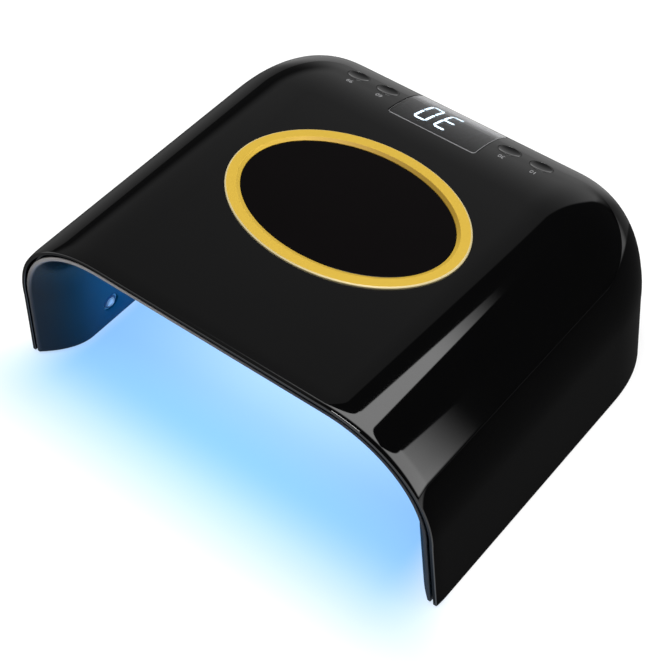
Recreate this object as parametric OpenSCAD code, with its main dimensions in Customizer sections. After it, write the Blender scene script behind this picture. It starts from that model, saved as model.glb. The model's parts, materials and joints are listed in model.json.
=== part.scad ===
// Arch-shaped LED nail lamp with four timer keys, a timer display and a gilt oval on its roof.
// Millimetres. X runs across the mouth, the mouth faces -Y, +Z is up, the feet stand on Z = 0.

/* [Body] */
// Width of the cover across its lower edges
body_width = 225; // [205:1:250]
// Depth of the cover along the table
body_depth = 190; // [180:1:215]
// Height of the flat roof above the table
body_height = 90; // [86:1:105]
// Wall of the outer cover
cover_wall = 2.2; // [1.8:0.1:2.8]
// How far the roof's front edge leans out over the foot of the arch
front_lean = 3.2; // [0:0.2:6]
// Draft of the side walls, in degrees
side_draft = 4.2; // [3:0.1:6]
// Draft of the back wall, in degrees
back_draft = 7; // [5:0.1:9]

/* [Shoulders and rear edge] */
// Sideways reach of the shoulder curve
shoulder_reach = 52; // [46:1:56]
// Height of the shoulder curve
shoulder_rise = 51; // [46:1:54]
// Fullness of the shoulder curve, where 2 is an ellipse
shoulder_power = 2.05; // [1.9:0.05:2.4]
// Depth of the curve over the rear edge
back_reach = 51; // [47:1:55]
// Height of the curve over the rear edge
back_rise = 37; // [32:1:42]
// Fullness of the curve over the rear edge
back_power = 2.45; // [2.2:0.05:2.8]
// Fullness of the rear corners seen from above
corner_power = 2.35; // [2:0.05:2.8]

/* [Mouth and liner] */
// Wall of the inner liner
liner_wall = 2; // [1.8:0.1:2.4]
// Width of the dark groove between the cover's edge and the liner's lip
groove_width = 1.2; // [0.8:0.1:1.8]
// Depth of that groove
groove_depth = 3; // [2:0.2:4]
// Flat face of the liner's lip
lip_face = 1.4; // [1:0.1:2]
// Thickness of a leg, from the cover's outside to the liner's inside
leg_thickness = 17.7; // [16.5:0.1:20]
// Thickness of the roof, from the cover's outside to the liner's inside
roof_thickness = 11.6; // [11:0.1:14]
// Depth over which the liner's lip rolls into the legs
leg_nose_depth = 22; // [16:1:26]
// Depth over which the liner's lip rolls into the roof
roof_nose_depth = 10; // [7:0.5:13]
// Depth left between the hand cavity's back wall and the back of the lamp
cavity_room = 32; // [31:0.5:40]
// Depth of the rounded end of the hand cavity
cavity_round = 46; // [42:1:50]
// Sideways reach of the shoulder curve that is left at the cavity's back wall
end_shoulder_reach = 6; // [4:0.5:8]
// Height of the shoulder curve that is left at the cavity's back wall
end_shoulder_rise = 5.4; // [4:0.2:7]
// Thickness of the rim that closes the legs underneath
rim_thickness = 2.4; // [2.2:0.1:3]
// Height of that rim above the cover's lower edge
rim_recess = 0.6; // [0.4:0.1:1]

/* [Oval on the roof] */
// Width of the gilt ring
ring_width = 113.8; // [104:0.2:118]
// Depth of the gilt ring, front to back
ring_depth = 80.2; // [74:0.2:84]
// Breadth of the ring's band
ring_band = 6.6; // [5:0.1:8]
// Height of the ring above the roof
ring_rise = 1; // [0.6:0.1:1.4]
// Depth of the oval pocket in the roof
pocket_depth = 1.1; // [0.9:0.1:1.3]
// Distance from the front edge to the middle of the oval
ring_centre = 86.6; // [78:0.2:92]

/* [Keys and display] */
// Distance from the row of keys to the back of the lamp
key_setback = 30.7; // [28:0.1:34]
// Sideways distance from the middle to the inner keys
inner_key_offset = 32.6; // [32:0.1:34]
// Sideways distance from the middle to the outer keys
outer_key_offset = 48.8; // [47.5:0.1:50]
// Width of a key
key_width = 11; // [9.5:0.1:11.4]
// Depth of a key along the slope
key_depth = 8.2; // [7:0.1:8.8]
// Depth of the dish in a key
key_dish = 0.9; // [0.5:0.1:1.2]
// Travel of a key
key_travel = 0.6; // [0.4:0.1:0.8]
// Width of the display window
window_width = 46; // [42:0.5:48]
// Length of the display window along the slope
window_length = 27; // [23:0.5:28]
// Thickness of the display window
window_thickness = 1.4; // [1.2:0.1:1.5]
// Height of the digits
digit_height = 15.6; // [14:0.1:16]
// Width of a digit
digit_width = 7; // [6:0.1:7.4]
// Distance from one digit to the next
digit_pitch = 10.5; // [10.2:0.1:10.8]
// Slant of the digits, in degrees
digit_slant = 5; // [3:1:8]
// How far the digits stand to the right of the display's middle, seen from the front
digit_shift = 1; // [0:0.1:1.4]

/* [Light boards] */
// Diameter of a lamp opening in the liner
lamp_opening = 9; // [8.6:0.1:10]
// Columns of lamps in the roof
roof_columns = 3; // [2:1:4]
// Rows of lamps in the roof
roof_rows = 4; // [3:1:4]
// Distance between lamps in the roof
roof_lamp_pitch = 24; // [20:1:25]
// Lamps in each leg
leg_lamps = 4; // [3:1:4]
// Distance between lamps in a leg
leg_lamp_pitch = 21; // [18:1:22]
// Lamps in each shoulder
shoulder_lamps = 4; // [3:1:4]
// Distance between lamps in a shoulder
shoulder_lamp_pitch = 25; // [22:1:25]
// Lamps in the back wall
rear_lamps = 4; // [3:1:4]
// Distance between lamps in the back wall
rear_lamp_pitch = 24; // [20:1:26]
// Thickness of every circuit board
board_thickness = 1.6; // [1.2:0.1:1.8]

/* [Power inlet] */
// Height of the inlet above the table
jack_height = 20; // [17:0.5:24]
// Diameter of the inlet's flange
jack_flange = 13.6; // [12:0.1:15]
// Diameter of the inlet's threaded barrel
jack_barrel = 8; // [7.6:0.1:9]
// Bore of the inlet
jack_bore = 5.6; // [5.5:0.1:5.8]
// Diameter of the inlet's centre pin
jack_pin = 2; // [1.9:0.1:2.5]

/* [Feet and screws] */
// Height of the cover's lower edge above the table
foot_stand = 1; // [0.8:0.1:1.4]
// Length of a foot
foot_length = 22; // [16:1:24]
// Width of a foot
foot_width = 8; // [6:0.2:9]
// Diameter of a cover screw's shank
cover_screw = 2.6; // [2.4:0.1:3]
// Diameter of a board screw's shank
board_screw = 1.9; // [1.7:0.1:2.1]

/* [Clearances] */
// Gap around a key, and round the display window
key_gap = 0.3; // [0.25:0.05:0.4]
// Gap between pieces that seat against each other
seat_gap = 0.15; // [0.1:0.05:0.25]
// Gap between the liner and the cover
liner_gap = 0.4; // [0.3:0.05:0.5]

/* [Hidden] */
$fn = 48;

// Heights and half widths that the body's form is built from
foot_half = body_width / 2;
shoulder_z = body_height - shoulder_rise;
back_curve_z = body_height - back_rise;
wall_half = foot_half - (shoulder_z - foot_stand) * tan(side_draft);
flat_half = wall_half - shoulder_reach;
back_wall = body_depth - (back_curve_z - foot_stand) * tan(back_draft);
back_curve_y = back_wall - back_reach;
// Row position of the front edge at the table, which centres the whole body on Y
front_y = -(body_depth - front_lean) / 2;
lean = front_lean / (body_height - foot_stand);

// Where the cavity's outline ends, and what its lip leaves to the groove
lip_inset = cover_wall + groove_width;
lip_back = lip_inset + lip_face;
cavity_depth = body_depth - cavity_room;
cavity_straight = cavity_depth - cavity_round;
side_close = shoulder_reach - leg_thickness - end_shoulder_reach;
roof_drop = shoulder_rise - roof_thickness - end_shoulder_rise;
liner_base = foot_stand + rim_recess;
rim_top = liner_base + rim_thickness;
liner_roof = body_height - roof_thickness + liner_wall;
// How far a cutter runs past the faces that it cuts
past = 5;
// Depths behind the front edge at which the lip's roll has a ring
nose_depths = [for (a = [0:10:90]) leg_nose_depth * (1 - cos(a))];

// The ring's bevels, from its outer edge to its inner edge
ring_edge_bevel = 0.5;
ring_edge_drop = 0.4;
ring_inner_bevel = 1.7;
ring_inner_rise = 0.1;
ring_sides = 72;

// The key row, where the rear edge has begun to fall away
key_row = body_depth - key_setback;
key_z = roof_at(key_row);
key_tilt = atan(roof_at(key_row - 0.5) - roof_at(key_row + 0.5));
key_places = [outer_key_offset, inner_key_offset, -inner_key_offset, -outer_key_offset];
collar_wall = 1;
collar_depth = cover_wall + 1.2;
key_top = 0.1;
dish_margin = 0.7;
flange_overhang = 0.9;
flange_thickness = 0.8;
flange_top = collar_depth + 0.1;
key_stem = 3.2;
stem_length = 2;
plunger_diameter = 3.4;
plunger_top = flange_top + flange_thickness + stem_length;
plunger_length = 2.6;
plunger_gap = 0.05;
plunger_float = 0.2;
switch_size = 6;
switch_height = 3.5;
switch_top = plunger_top + key_travel + 2 * plunger_float;
board_top = switch_top + switch_height;
board_bottom = board_top + board_thickness;

// The display
window_ledge = 1.6;
window_front = key_row - window_length / 2;
window_back = key_row + window_length / 2;
module_size = [3 * digit_pitch + 2 * digit_shift + 1, digit_height + 3.4];
module_top = cover_wall + 1.1;
digit_places = [digit_pitch, 0, -digit_pitch];
segment_width = 1.2;
segment_gap = 0.12;
// Ends of a digit's seven segments in shares of its half width and half height, read from behind
segment_ends = [
    [[1, -1], [-1, -1]], [[-1, -1], [-1, 0]], [[-1, 0], [-1, 1]], [[-1, 1], [1, 1]],
    [[1, 1], [1, 0]], [[1, 0], [1, -1]], [[1, 0], [-1, 0]]
];
// The segments that are lit in each digit: a blank, a three and a nought
lit = [[], [0, 1, 2, 3, 6], [0, 1, 2, 3, 4, 5]];

// The control board and its posts
board_size = [2 * outer_key_offset + 18, 27];
post_diameter = 5.6;
post_spots = [
    for (u = [-1, 1], v = [-1, 1])
        [u * (inner_key_offset + outer_key_offset) / 2, v * (board_size[1] / 2 - post_diameter / 2 - 0.5)]
];
post_top = cover_wall - 0.2;
screw_head = 3.8;
screw_head_height = 1.2;
screw_bite = 4;
pilot_run = 0.5;
pilot_fit = 0.04;

// What hangs under the control board, each place given by its middle
controller_place = [0, -6];
controller_size = [10, 4, 1.6];
transistor_places = [[-30, -5], [-20, -5], [18, -5]];
transistor_size = [6, 6, 2];
capacitor_place = [29, -1];
capacitor_diameter = 6.3;
capacitor_height = 5.4;
socket_places = [-48, -24, 0, 24, 48];
socket_v = 7;
socket_size = [8, 5, 4];

// The lamps and their boards
led_base_diameter = 7;
led_base = 0.8;
led_dome = 2.5;
led_reach = 2.2;
roof_first_lamp = leg_nose_depth + 9;
leg_first_lamp = leg_nose_depth + 13;
shoulder_first_lamp = leg_nose_depth + 3;
board_margin = 8;
roof_board_margin = 11;
leg_lamp_z = 13;
rear_lamp_z = 21;
leg_board_width = 17;
shoulder_board_width = 13;
rear_board_width = 24;
shoulder_angle = 48;
screw_hold = 1.4;
shoulder_inner = [shoulder_reach - leg_thickness + liner_wall, shoulder_rise - roof_thickness + liner_wall];
connector = [6, 8, 3.2];
connector_gap = 1;
connector_middle = seat_gap + board_thickness + connector[2] / 2;
sensor_diameter = 3;
sensor_spacing = 12;
sensor_y = roof_first_lamp - 12;
sensor_reach = 1;

// Where the lamps and the screws of the boards stand
roof_rows_y = row(roof_rows, roof_lamp_pitch, roof_first_lamp);
roof_spots = [for (x = centred_row(roof_columns, roof_lamp_pitch), y = roof_rows_y) [x, y]];
roof_screw_spots = [
    for (x = [-1, 1], y = [roof_rows_y[0], roof_rows_y[roof_rows - 2]])
        [x * roof_lamp_pitch * (roof_columns % 2 == 0 ? 1 : 0.5), y + roof_lamp_pitch / 2]
];
leg_rows_y = row(leg_lamps, leg_lamp_pitch, leg_first_lamp);
shoulder_rows_y = row(shoulder_lamps, shoulder_lamp_pitch, shoulder_first_lamp);
rear_row_x = centred_row(rear_lamps, rear_lamp_pitch);
roof_board_front = sensor_y - roof_first_lamp - board_margin / 2;
roof_board_end = roof_rows_y[roof_rows - 1] - roof_rows_y[0] + board_margin;
roof_connector_x = -roof_lamp_pitch / 2;
leg_connector_x = (connector[0] + connector_gap) / 2;

// The inlet
flange_sink = 1;
flange_stand = 0.6;
jack_pad = 2;
jack_pad_diameter = 20;
jack_length = 13;
jack_bore_depth = 9.5;
nut_height = 2.5;
nut_width = 11;
pin_recess = 1;
contact_size = [1.6, 4, 0.6];
contact_offset = 2.2;

// Cover screws and feet
boss_diameter = 6.8;
boss_height = 11;
boss_base = rim_top + seat_gap;
cover_head = 5;
cover_head_height = 1.2;
cover_head_recess = 0.1;
boss_floor = 1.5;
boss_overlap = 0.3;
rear_boss_x = 40;
side_boss_x = side_at(boss_base, cover_wall) - boss_diameter / 2 + boss_overlap;
rear_boss_y = back_at(boss_base, cover_wall) - boss_diameter / 2 + boss_overlap;
cover_screw_spots = [
    for (side = [-1, 1]) each [
        [side * side_boss_x, leg_nose_depth + foot_length],
        [side * side_boss_x, back_curve_y - boss_diameter * 2],
        [side * rear_boss_x, rear_boss_y]
    ]
];
foot_sink = 1;
front_foot = [(side_at(rim_top, cover_wall) + side_at(rim_top, leg_thickness)) / 2, leg_nose_depth + 2];
rear_foot = [flat_half + 12, cavity_depth + liner_wall + foot_width + 1];

// The leads
lead_diameter = 2;
lead_sides = 8;
lead_steps = 5;
// How far behind the hand cavity the leads rise
rise_y = cavity_depth + liner_wall + 3.5 * lead_diameter;

// Fullness of a curve that runs from 1 at the start to 0 at the end of its reach
function superellipse(s, power) = pow(max(0, 1 - pow(min(max(s, 0), 1), power)), 1 / power);

// Half width of the body at a height, moved inwards by the inset
function side_at(z, inset = 0) =
    z <= shoulder_z
        ? foot_half - inset - (z - foot_stand) * tan(side_draft)
        : flat_half + (shoulder_reach - inset)
            * superellipse((z - shoulder_z) / (shoulder_rise - inset), shoulder_power);

// Depth of the body at a height, moved inwards by the inset
function back_at(z, inset = 0) =
    z <= back_curve_z
        ? body_depth - inset - (z - foot_stand) * tan(back_draft)
        : back_curve_y + (back_reach - inset)
            * superellipse((z - back_curve_z) / (back_rise - inset), back_power);

// Height of the roof at a depth, moved inwards by the inset
function roof_at(y, inset = 0) =
    y <= back_curve_y
        ? body_height - inset
        : back_curve_z + (back_rise - inset)
            * superellipse((y - back_curve_y) / (back_reach - inset), back_power);

// Depth of the leaning front edge at a height
function front_at(z) = -lean * (z - foot_stand);

// Outline of the body seen from above, from the front left round the back to the front right
function outline(z, inset, front) =
    let (
        side = side_at(z, inset) - flat_half,
        back = back_at(z, inset) - back_curve_y,
        corner = [for (a = [0:6:90]) [pow(cos(a), 2 / corner_power), pow(sin(a), 2 / corner_power)]],
        right = [for (c = corner) [flat_half + side * c[0], back_curve_y + back * c[1]]]
    )
    concat(
        [[-flat_half - side, front]],
        [for (p = right) [-p[0], p[1]]],
        [for (i = [len(right) - 1:-1:0]) right[i]],
        [[flat_half + side, front]]
    );

// Rings of one length joined into a closed solid, each ring clockwise seen from the last one
module loft(rings) {
    count = len(rings[0]);
    last = len(rings) - 1;
    sides = [
        for (i = [0:last - 1], j = [0:count - 1])
            let (a = i * count + j, b = i * count + (j + 1) % count)
                each [[a, b, b + count], [a, b + count, a + count]]
    ];
    first_cap = [for (j = [count - 1:-1:0]) j];
    last_cap = [for (j = [0:count - 1]) last * count + j];
    polyhedron([for (ring = rings) each ring], concat(sides, [first_cap, last_cap]));
}

// The body's full form, moved inwards by the inset and run past its front and foot
module cover_form(inset, run) {
    heights = concat(
        [foot_stand - run],
        [for (a = [0:5:85]) shoulder_z + (shoulder_rise - inset) * sin(a)]
    );
    crown = body_height - inset;
    crown_edge = 0.02;
    rings = concat(
        [for (z = heights) [for (p = outline(z, inset, front_at(z) - run)) [p[0], p[1], z]]],
        [[for (p = outline(crown - crown_edge, inset, front_at(crown) - run)) [p[0], p[1], crown]]]
    );
    loft(rings);
}

// A strip of the roof between two depths and two insets
module roof_strip(from_y, to_y, outer, inner, width) {
    steps = 16;
    depths = [for (i = [0:steps]) from_y + (to_y - from_y) * i / steps];
    rotate([90, 0, 90])
        linear_extrude(width, center = true)
            polygon(concat(
                [for (y = depths) [y, roof_at(y, outer)]],
                [for (i = [steps:-1:0]) [depths[i], roof_at(depths[i], inner)]]
            ));
}

// Frames of reference
module placed() {
    translate([0, front_y, 0]) children();
}

module on_panel(u = 0, v = 0, w = 0) {
    translate([0, key_row, key_z]) rotate([-key_tilt, 0, 0]) translate([u, v, w]) children();
}

module on_back(z) {
    translate([0, back_at(z), z]) rotate([back_draft - 90, 0, 0]) children();
}

module on_side(side) {
    if (side > 0) children();
    else mirror([1, 0, 0]) children();
}

// Cross-section of the arch at one depth, from the right foot over the roof to the left foot
function arch_ring(y, side, top, foot) =
    let (
        right = concat(
            [[side_at(foot, side), foot]],
            [
                for (a = [0:7.5:90]) [
                    flat_half + (shoulder_reach - side) * pow(cos(a), 2 / shoulder_power),
                    shoulder_z + (shoulder_rise - top) * pow(sin(a), 2 / shoulder_power)
                ]
            ]
        ),
        arch = concat(right, [for (i = [len(right) - 1:-1:0]) [-right[i][0], right[i][1]]])
    )
    [for (p = arch) [p[0], y + front_at(p[1]), p[1]]];

// How far the lip has rolled in at a depth behind the front edge
function nose(y, depth, reach) = y >= depth ? reach : reach * (1 - pow(1 - max(y, 0) / depth, 2));
function leg_inset(y) = lip_back + nose(y, leg_nose_depth, leg_thickness - lip_back);
function roof_inset(y) = lip_back + nose(y, roof_nose_depth, roof_thickness - lip_back);

// The hand cavity, or the same form grown outwards by a wall
module cavity_end_form(wall, first_rings, foot) {
    end_rings = [
        for (a = [0:10:90])
            arch_ring(
                cavity_straight + (cavity_round + wall) * sin(a),
                leg_thickness - wall + side_close * (1 - cos(a)),
                roof_thickness - wall + roof_drop * (1 - cos(a)),
                foot
            )
    ];
    loft(concat(first_rings, end_rings));
}

module cavity_form() {
    foot = foot_stand - past;
    cavity_end_form(0, concat(
        [arch_ring(-past, leg_inset(0), roof_inset(0), foot)],
        [for (y = nose_depths) arch_ring(y, leg_inset(y), roof_inset(y), foot)]
    ), foot);
}

module liner_form() {
    tongue = cover_wall + liner_gap;
    tongue_back = groove_depth + liner_wall;
    step_draft = 0.2;
    lip_foot = liner_base + rim_thickness / 2;
    behind = [for (y = nose_depths) if (y > groove_depth + 1) y];
    cavity_end_form(liner_wall, concat(
        [
            arch_ring(0, lip_inset, lip_inset, lip_foot),
            arch_ring(groove_depth - step_draft, lip_inset, lip_inset, lip_foot),
            arch_ring(groove_depth, tongue, tongue, lip_foot),
            arch_ring(tongue_back - step_draft, tongue, tongue, lip_foot)
        ],
        [
            for (y = concat([groove_depth], behind))
                arch_ring(y + liner_wall, leg_inset(y) - liner_wall, roof_inset(y) - liner_wall, lip_foot)
        ]
    ), lip_foot);
}

// Places on the liner's outside, each with its +Z pointing away from the hand cavity
module on_roof(spot) {
    translate([spot[0], spot[1], liner_roof]) children();
}

module on_leg(side, y) {
    x = side_at(leg_lamp_z, leg_thickness - liner_wall);
    on_side(side) translate([x, y, leg_lamp_z]) rotate([0, 90 - side_draft, 0]) children();
}

function shoulder_point(a) = [
    flat_half + shoulder_inner[0] * pow(cos(a), 2 / shoulder_power),
    shoulder_z + shoulder_inner[1] * pow(sin(a), 2 / shoulder_power)
];

module on_shoulder(side, y) {
    p = shoulder_point(shoulder_angle);
    ahead = shoulder_point(shoulder_angle + 1) - shoulder_point(shoulder_angle - 1);
    on_side(side) translate([p[0], y, p[1]]) rotate([0, atan2(ahead[1], -ahead[0]), 0]) children();
}

module on_rear(x) {
    y = cavity_depth + liner_wall + front_at(rear_lamp_z);
    translate([x, y, rear_lamp_z]) rotate([atan(lean) - 90, 0, 0]) rotate([0, 0, -90]) children();
}

function row(count, pitch, start) = [for (i = [0:count - 1]) start + i * pitch];
function centred_row(count, pitch) = row(count, pitch, -(count - 1) * pitch / 2);

// The places between the first two and the last two of a row
function row_screws(places) =
    [(places[0] + places[1]) / 2, (places[len(places) - 2] + places[len(places) - 1]) / 2];

// Every lamp's place and every board screw's place on the liner
module at_lamps() {
    for (spot = roof_spots) on_roof(spot) children();
    for (side = [-1, 1], y = leg_rows_y) on_leg(side, y) children();
    for (side = [-1, 1], y = shoulder_rows_y) on_shoulder(side, y) children();
    for (x = rear_row_x) on_rear(x) children();
}

module at_board_screws() {
    for (spot = roof_screw_spots) on_roof(spot) children();
    for (side = [-1, 1], y = row_screws(leg_rows_y)) on_leg(side, y) children();
    for (side = [-1, 1], y = row_screws(shoulder_rows_y)) on_shoulder(side, y) children();
    for (x = row_screws(rear_row_x)) on_rear(x) children();
}

// A bar with round ends along X
module stadium(length, width, height) {
    straight = length - width;
    translate([-straight / 2, -width / 2, 0]) cube([straight, width, height]);
    for (side = [-1, 1])
        translate([side * straight / 2, 0, 0]) cylinder(d = width, h = height);
}

module at_feet() {
    for (side = [-1, 1]) {
        at_front_foot(side) children();
        at_rear_foot(side) children();
    }
}

module at_front_foot(side) {
    translate([side * front_foot[0], front_foot[1], 0]) rotate([0, 0, 90]) children();
}

module at_rear_foot(side) {
    translate([side * rear_foot[0], rear_foot[1], 0]) children();
}

module at_cover_screws() {
    for (spot = cover_screw_spots) translate([spot[0], spot[1], 0]) children();
}

// An ellipse of straight sides
module oval(width, depth, sides) {
    step = 360 / sides;
    polygon([for (i = [0:sides - 1]) [width / 2 * cos(i * step), depth / 2 * sin(i * step)]]);
}

// The outer cover
module outer_cover() {
    color("#161617") placed() difference() {
        union() {
            difference() {
                cover_form(0, 0);
                cover_form(cover_wall, past);
            }
            for (u = key_places) key_collar(u);
            for (spot = post_spots)
                on_panel(spot[0], spot[1], -board_top)
                    cylinder(d = post_diameter, h = board_top - post_top);
            at_cover_screws()
                translate([0, 0, boss_base]) cylinder(d = boss_diameter, h = boss_height);
            on_back(jack_height) translate([0, 0, -cover_wall - jack_pad])
                cylinder(d = jack_pad_diameter, h = jack_pad + cover_wall / 2);
        }
        for (u = key_places)
            on_panel(u, 0, -board_top)
                linear_extrude(board_top + past)
                    oval(key_width + 2 * key_gap, key_depth + 2 * key_gap, 40);
        roof_strip(
            window_front - key_gap, window_back + key_gap,
            -past, window_thickness + seat_gap, window_width + 2 * key_gap
        );
        roof_strip(
            window_front + window_ledge, window_back - window_ledge,
            0, cover_wall + past, window_width - 2 * window_ledge
        );
        translate([0, ring_centre, body_height - pocket_depth])
            linear_extrude(past) oval(ring_width + 2 * seat_gap, ring_depth + 2 * seat_gap, 96);
        for (spot = post_spots)
            on_panel(spot[0], spot[1], -board_top - past)
                cylinder(d = board_screw + pilot_fit, h = screw_bite + pilot_run + past);
        at_cover_screws()
            cylinder(d = cover_screw + pilot_fit, h = boss_base + boss_height - boss_floor);
        on_back(jack_height) {
            translate([0, 0, -flange_sink]) cylinder(d = jack_flange + 2 * seat_gap, h = past);
            translate([0, 0, -jack_length]) cylinder(d = jack_barrel + 2 * seat_gap, h = jack_length);
        }
    }
}

module key_collar(u) {
    grown = 2 * (key_gap + collar_wall);
    on_panel(u, 0, -collar_depth)
        linear_extrude(collar_depth - cover_wall / 2) oval(key_width + grown, key_depth + grown, 40);
}

// The inner liner, with the rim that closes the legs underneath
module inner_liner() {
    rim_draft = 0.1;
    color("#20303c") placed() difference() {
        union() {
            liner_form();
            translate([0, 0, liner_base])
                linear_extrude(rim_thickness)
                    polygon(outline(rim_top, cover_wall + liner_gap + rim_draft, groove_depth));
        }
        cavity_form();
        at_lamps() translate([0, 0, -2 * liner_wall]) cylinder(d = lamp_opening, h = 3 * liner_wall);
        at_board_screws()
            translate([0, 0, -screw_hold]) cylinder(d = board_screw + pilot_fit, h = past);
        for (side = [-1, 1])
            on_roof([side * sensor_spacing / 2, sensor_y])
                translate([0, 0, -2 * liner_wall])
                    cylinder(d = sensor_diameter + 2 * seat_gap, h = 3 * liner_wall);
        at_cover_screws() {
            cylinder(d = cover_head + 4 * seat_gap, h = liner_base + cover_head_height);
            cylinder(d = cover_screw + 2 * seat_gap, h = rim_top + past);
        }
        at_feet() stadium(foot_length + 2 * seat_gap, foot_width + 2 * seat_gap, liner_base + foot_sink);
    }
}

// The gilt ring and the oval it frames
module gold_ring() {
    count = ring_sides;
    section = [
        [0, -pocket_depth],
        [0, ring_rise - ring_edge_drop],
        [ring_edge_bevel, ring_rise],
        [ring_band - ring_inner_bevel, ring_rise],
        [ring_band, ring_inner_rise],
        [ring_band, -pocket_depth]
    ];
    size = len(section);
    points = [
        for (i = [0:count - 1], p = section) [
            (ring_width / 2 - p[0]) * cos(i * 360 / count),
            (ring_depth / 2 - p[0]) * sin(i * 360 / count),
            p[1]
        ]
    ];
    faces = [
        for (i = [0:count - 1], j = [0:size - 1])
            let (
                a = i * size + j, b = i * size + (j + 1) % size,
                c = (i + 1) % count * size + j, d = (i + 1) % count * size + (j + 1) % size
            )
            each [[a, b, d], [a, d, c]]
    ];
    color("#e0bb51") placed() translate([0, ring_centre, body_height]) polyhedron(points, faces);
}

module oval_inlay() {
    inner = 2 * (ring_band + seat_gap);
    color("#121011") placed() translate([0, ring_centre, body_height - pocket_depth])
        linear_extrude(pocket_depth) oval(ring_width - inner, ring_depth - inner, 96);
}

// The smoked window over the display
module display_window() {
    color("#3a3b3e") placed() roof_strip(window_front, window_back, 0, window_thickness, window_width);
}

// A timer key: a dished cap, a flange that stops it under its collar, and a stem
module key(u) {
    chord = key_width - 2 * dish_margin;
    dish_radius = (pow(chord / 2, 2) + pow(key_dish, 2)) / (2 * key_dish);
    color("#242427") placed() on_panel(u, 0, 0) {
        difference() {
            translate([0, 0, -flange_top])
                linear_extrude(flange_top - key_top) oval(key_width, key_depth, 40);
            translate([0, 0, dish_radius - key_dish - key_top]) sphere(r = dish_radius, $fn = 96);
        }
        translate([0, 0, -flange_top - flange_thickness])
            linear_extrude(flange_thickness)
                oval(key_width + 2 * flange_overhang, key_depth + 2 * flange_overhang, 40);
        translate([0, 0, -plunger_top]) cylinder(d = key_stem, h = stem_length);
    }
}

module button_10() key(key_places[0]);
module button_30() key(key_places[1]);
module button_60() key(key_places[2]);
module button_99() key(key_places[3]);

// The plunger of a tact switch, which the key's stem presses
module switch_plunger(u) {
    color("#c9c3b4") placed() on_panel(u, 0, -plunger_top - plunger_length)
        cylinder(d = plunger_diameter, h = plunger_length);
}

module switch_plunger_10() switch_plunger(key_places[0]);
module switch_plunger_30() switch_plunger(key_places[1]);
module switch_plunger_60() switch_plunger(key_places[2]);
module switch_plunger_99() switch_plunger(key_places[3]);

module tact_switch(u) {
    well = plunger_length - (switch_top - plunger_top) + key_travel + plunger_float;
    color("#2b2b2e") placed() on_panel(u, 0, -board_top) difference() {
        translate([-switch_size / 2, -switch_size / 2, 0]) cube([switch_size, switch_size, switch_height]);
        translate([0, 0, switch_height - well])
            cylinder(d = plunger_diameter + 2 * plunger_gap, h = well + 1);
    }
}

module tact_switch_10() tact_switch(key_places[0]);
module tact_switch_30() tact_switch(key_places[1]);
module tact_switch_60() tact_switch(key_places[2]);
module tact_switch_99() tact_switch(key_places[3]);

// The control board under the keys, its parts and its screws
module control_board() {
    color("#1d5c3a") placed() on_panel(0, 0, -board_bottom) difference() {
        translate([-board_size[0] / 2, -board_size[1] / 2, 0])
            cube([board_size[0], board_size[1], board_thickness]);
        for (spot = post_spots)
            translate([spot[0], spot[1], -1])
                cylinder(d = board_screw + 2 * seat_gap, h = board_thickness + 2);
    }
}

// A block that hangs under the control board, given by its middle and its size
module hung_block(place, size) {
    translate([place[0] - size[0] / 2, place[1] - size[1] / 2, -size[2]]) cube(size);
}

// The controller, the switching transistors and the capacitor under the control board
module control_board_chips() {
    color("#26272a") placed() on_panel(0, 0, -board_bottom) {
        hung_block(controller_place, controller_size);
        for (place = transistor_places) hung_block(place, transistor_size);
        translate([capacitor_place[0], capacitor_place[1], -capacitor_height])
            cylinder(d = capacitor_diameter, h = capacitor_height);
    }
}

// The sockets under the control board that the leads plug into
module lead_sockets() {
    color("#e8e5dc") placed() on_panel(0, 0, -board_bottom)
        for (u = socket_places) hung_block([u, socket_v], socket_size);
}

module board_screw_solid(hold) {
    cylinder(d = screw_head, h = screw_head_height);
    translate([0, 0, -hold]) cylinder(d = board_screw, h = hold);
}

module control_board_screws() {
    color("#b9bcc0") placed()
        for (spot = post_spots)
            on_panel(spot[0], spot[1], -board_bottom)
                rotate([180, 0, 0]) board_screw_solid(board_thickness + screw_bite);
}

// The three-digit display
module display_module() {
    color("#1b1b1d") placed() on_panel(0, 0, -board_top)
        translate([-module_size[0] / 2, -module_size[1] / 2, 0])
            cube([module_size[0], module_size[1], board_top - module_top]);
}

// One segment of a digit, a light guide with pointed ends that stands on the display
module segment(ends) {
    half = [(digit_width - segment_width) / 2, (digit_height - segment_width) / 2];
    from = [ends[0][0] * half[0], ends[0][1] * half[1]];
    to = [ends[1][0] * half[0], ends[1][1] * half[1]];
    along = (to - from) / norm(to - from);
    across = [-along[1], along[0]] * segment_width / 2;
    tip = along * segment_gap;
    neck = along * (segment_gap + segment_width / 2);
    corners = [
        from + tip, from + neck + across, to - neck + across,
        to - tip, to - neck - across, from + neck - across
    ];
    linear_extrude(module_top)
        polygon([for (p = corners) [p[0] + p[1] * tan(digit_slant), p[1]]]);
}

// Segments that reach up to the underside of the window
module segments(wanted) {
    placed() intersection() {
        on_panel(digit_shift, 0, -module_top)
            for (digit = [0:2], part = [0:6])
                if (in_list(part, lit[digit]) == wanted)
                    translate([digit_places[digit], 0, 0]) segment(segment_ends[part]);
        roof_strip(
            window_front, window_back, window_thickness + seat_gap, cover_wall + past, window_width
        );
    }
}

function in_list(value, list) = len([for (entry = list) if (entry == value) entry]) > 0;

module digit_segments_lit() color("#dff6ff") segments(true);
module digit_segments_dark() color("#2c2f33") segments(false);

// The power inlet
module dc_jack() {
    color("#1c1c1e") placed() on_back(jack_height) difference() {
        union() {
            translate([0, 0, -flange_sink]) cylinder(d = jack_flange, h = flange_sink + flange_stand);
            translate([0, 0, -jack_length]) cylinder(d = jack_barrel, h = jack_length);
        }
        translate([0, 0, -jack_bore_depth])
            cylinder(d = jack_bore, h = jack_bore_depth + flange_stand + 1);
    }
}

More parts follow.
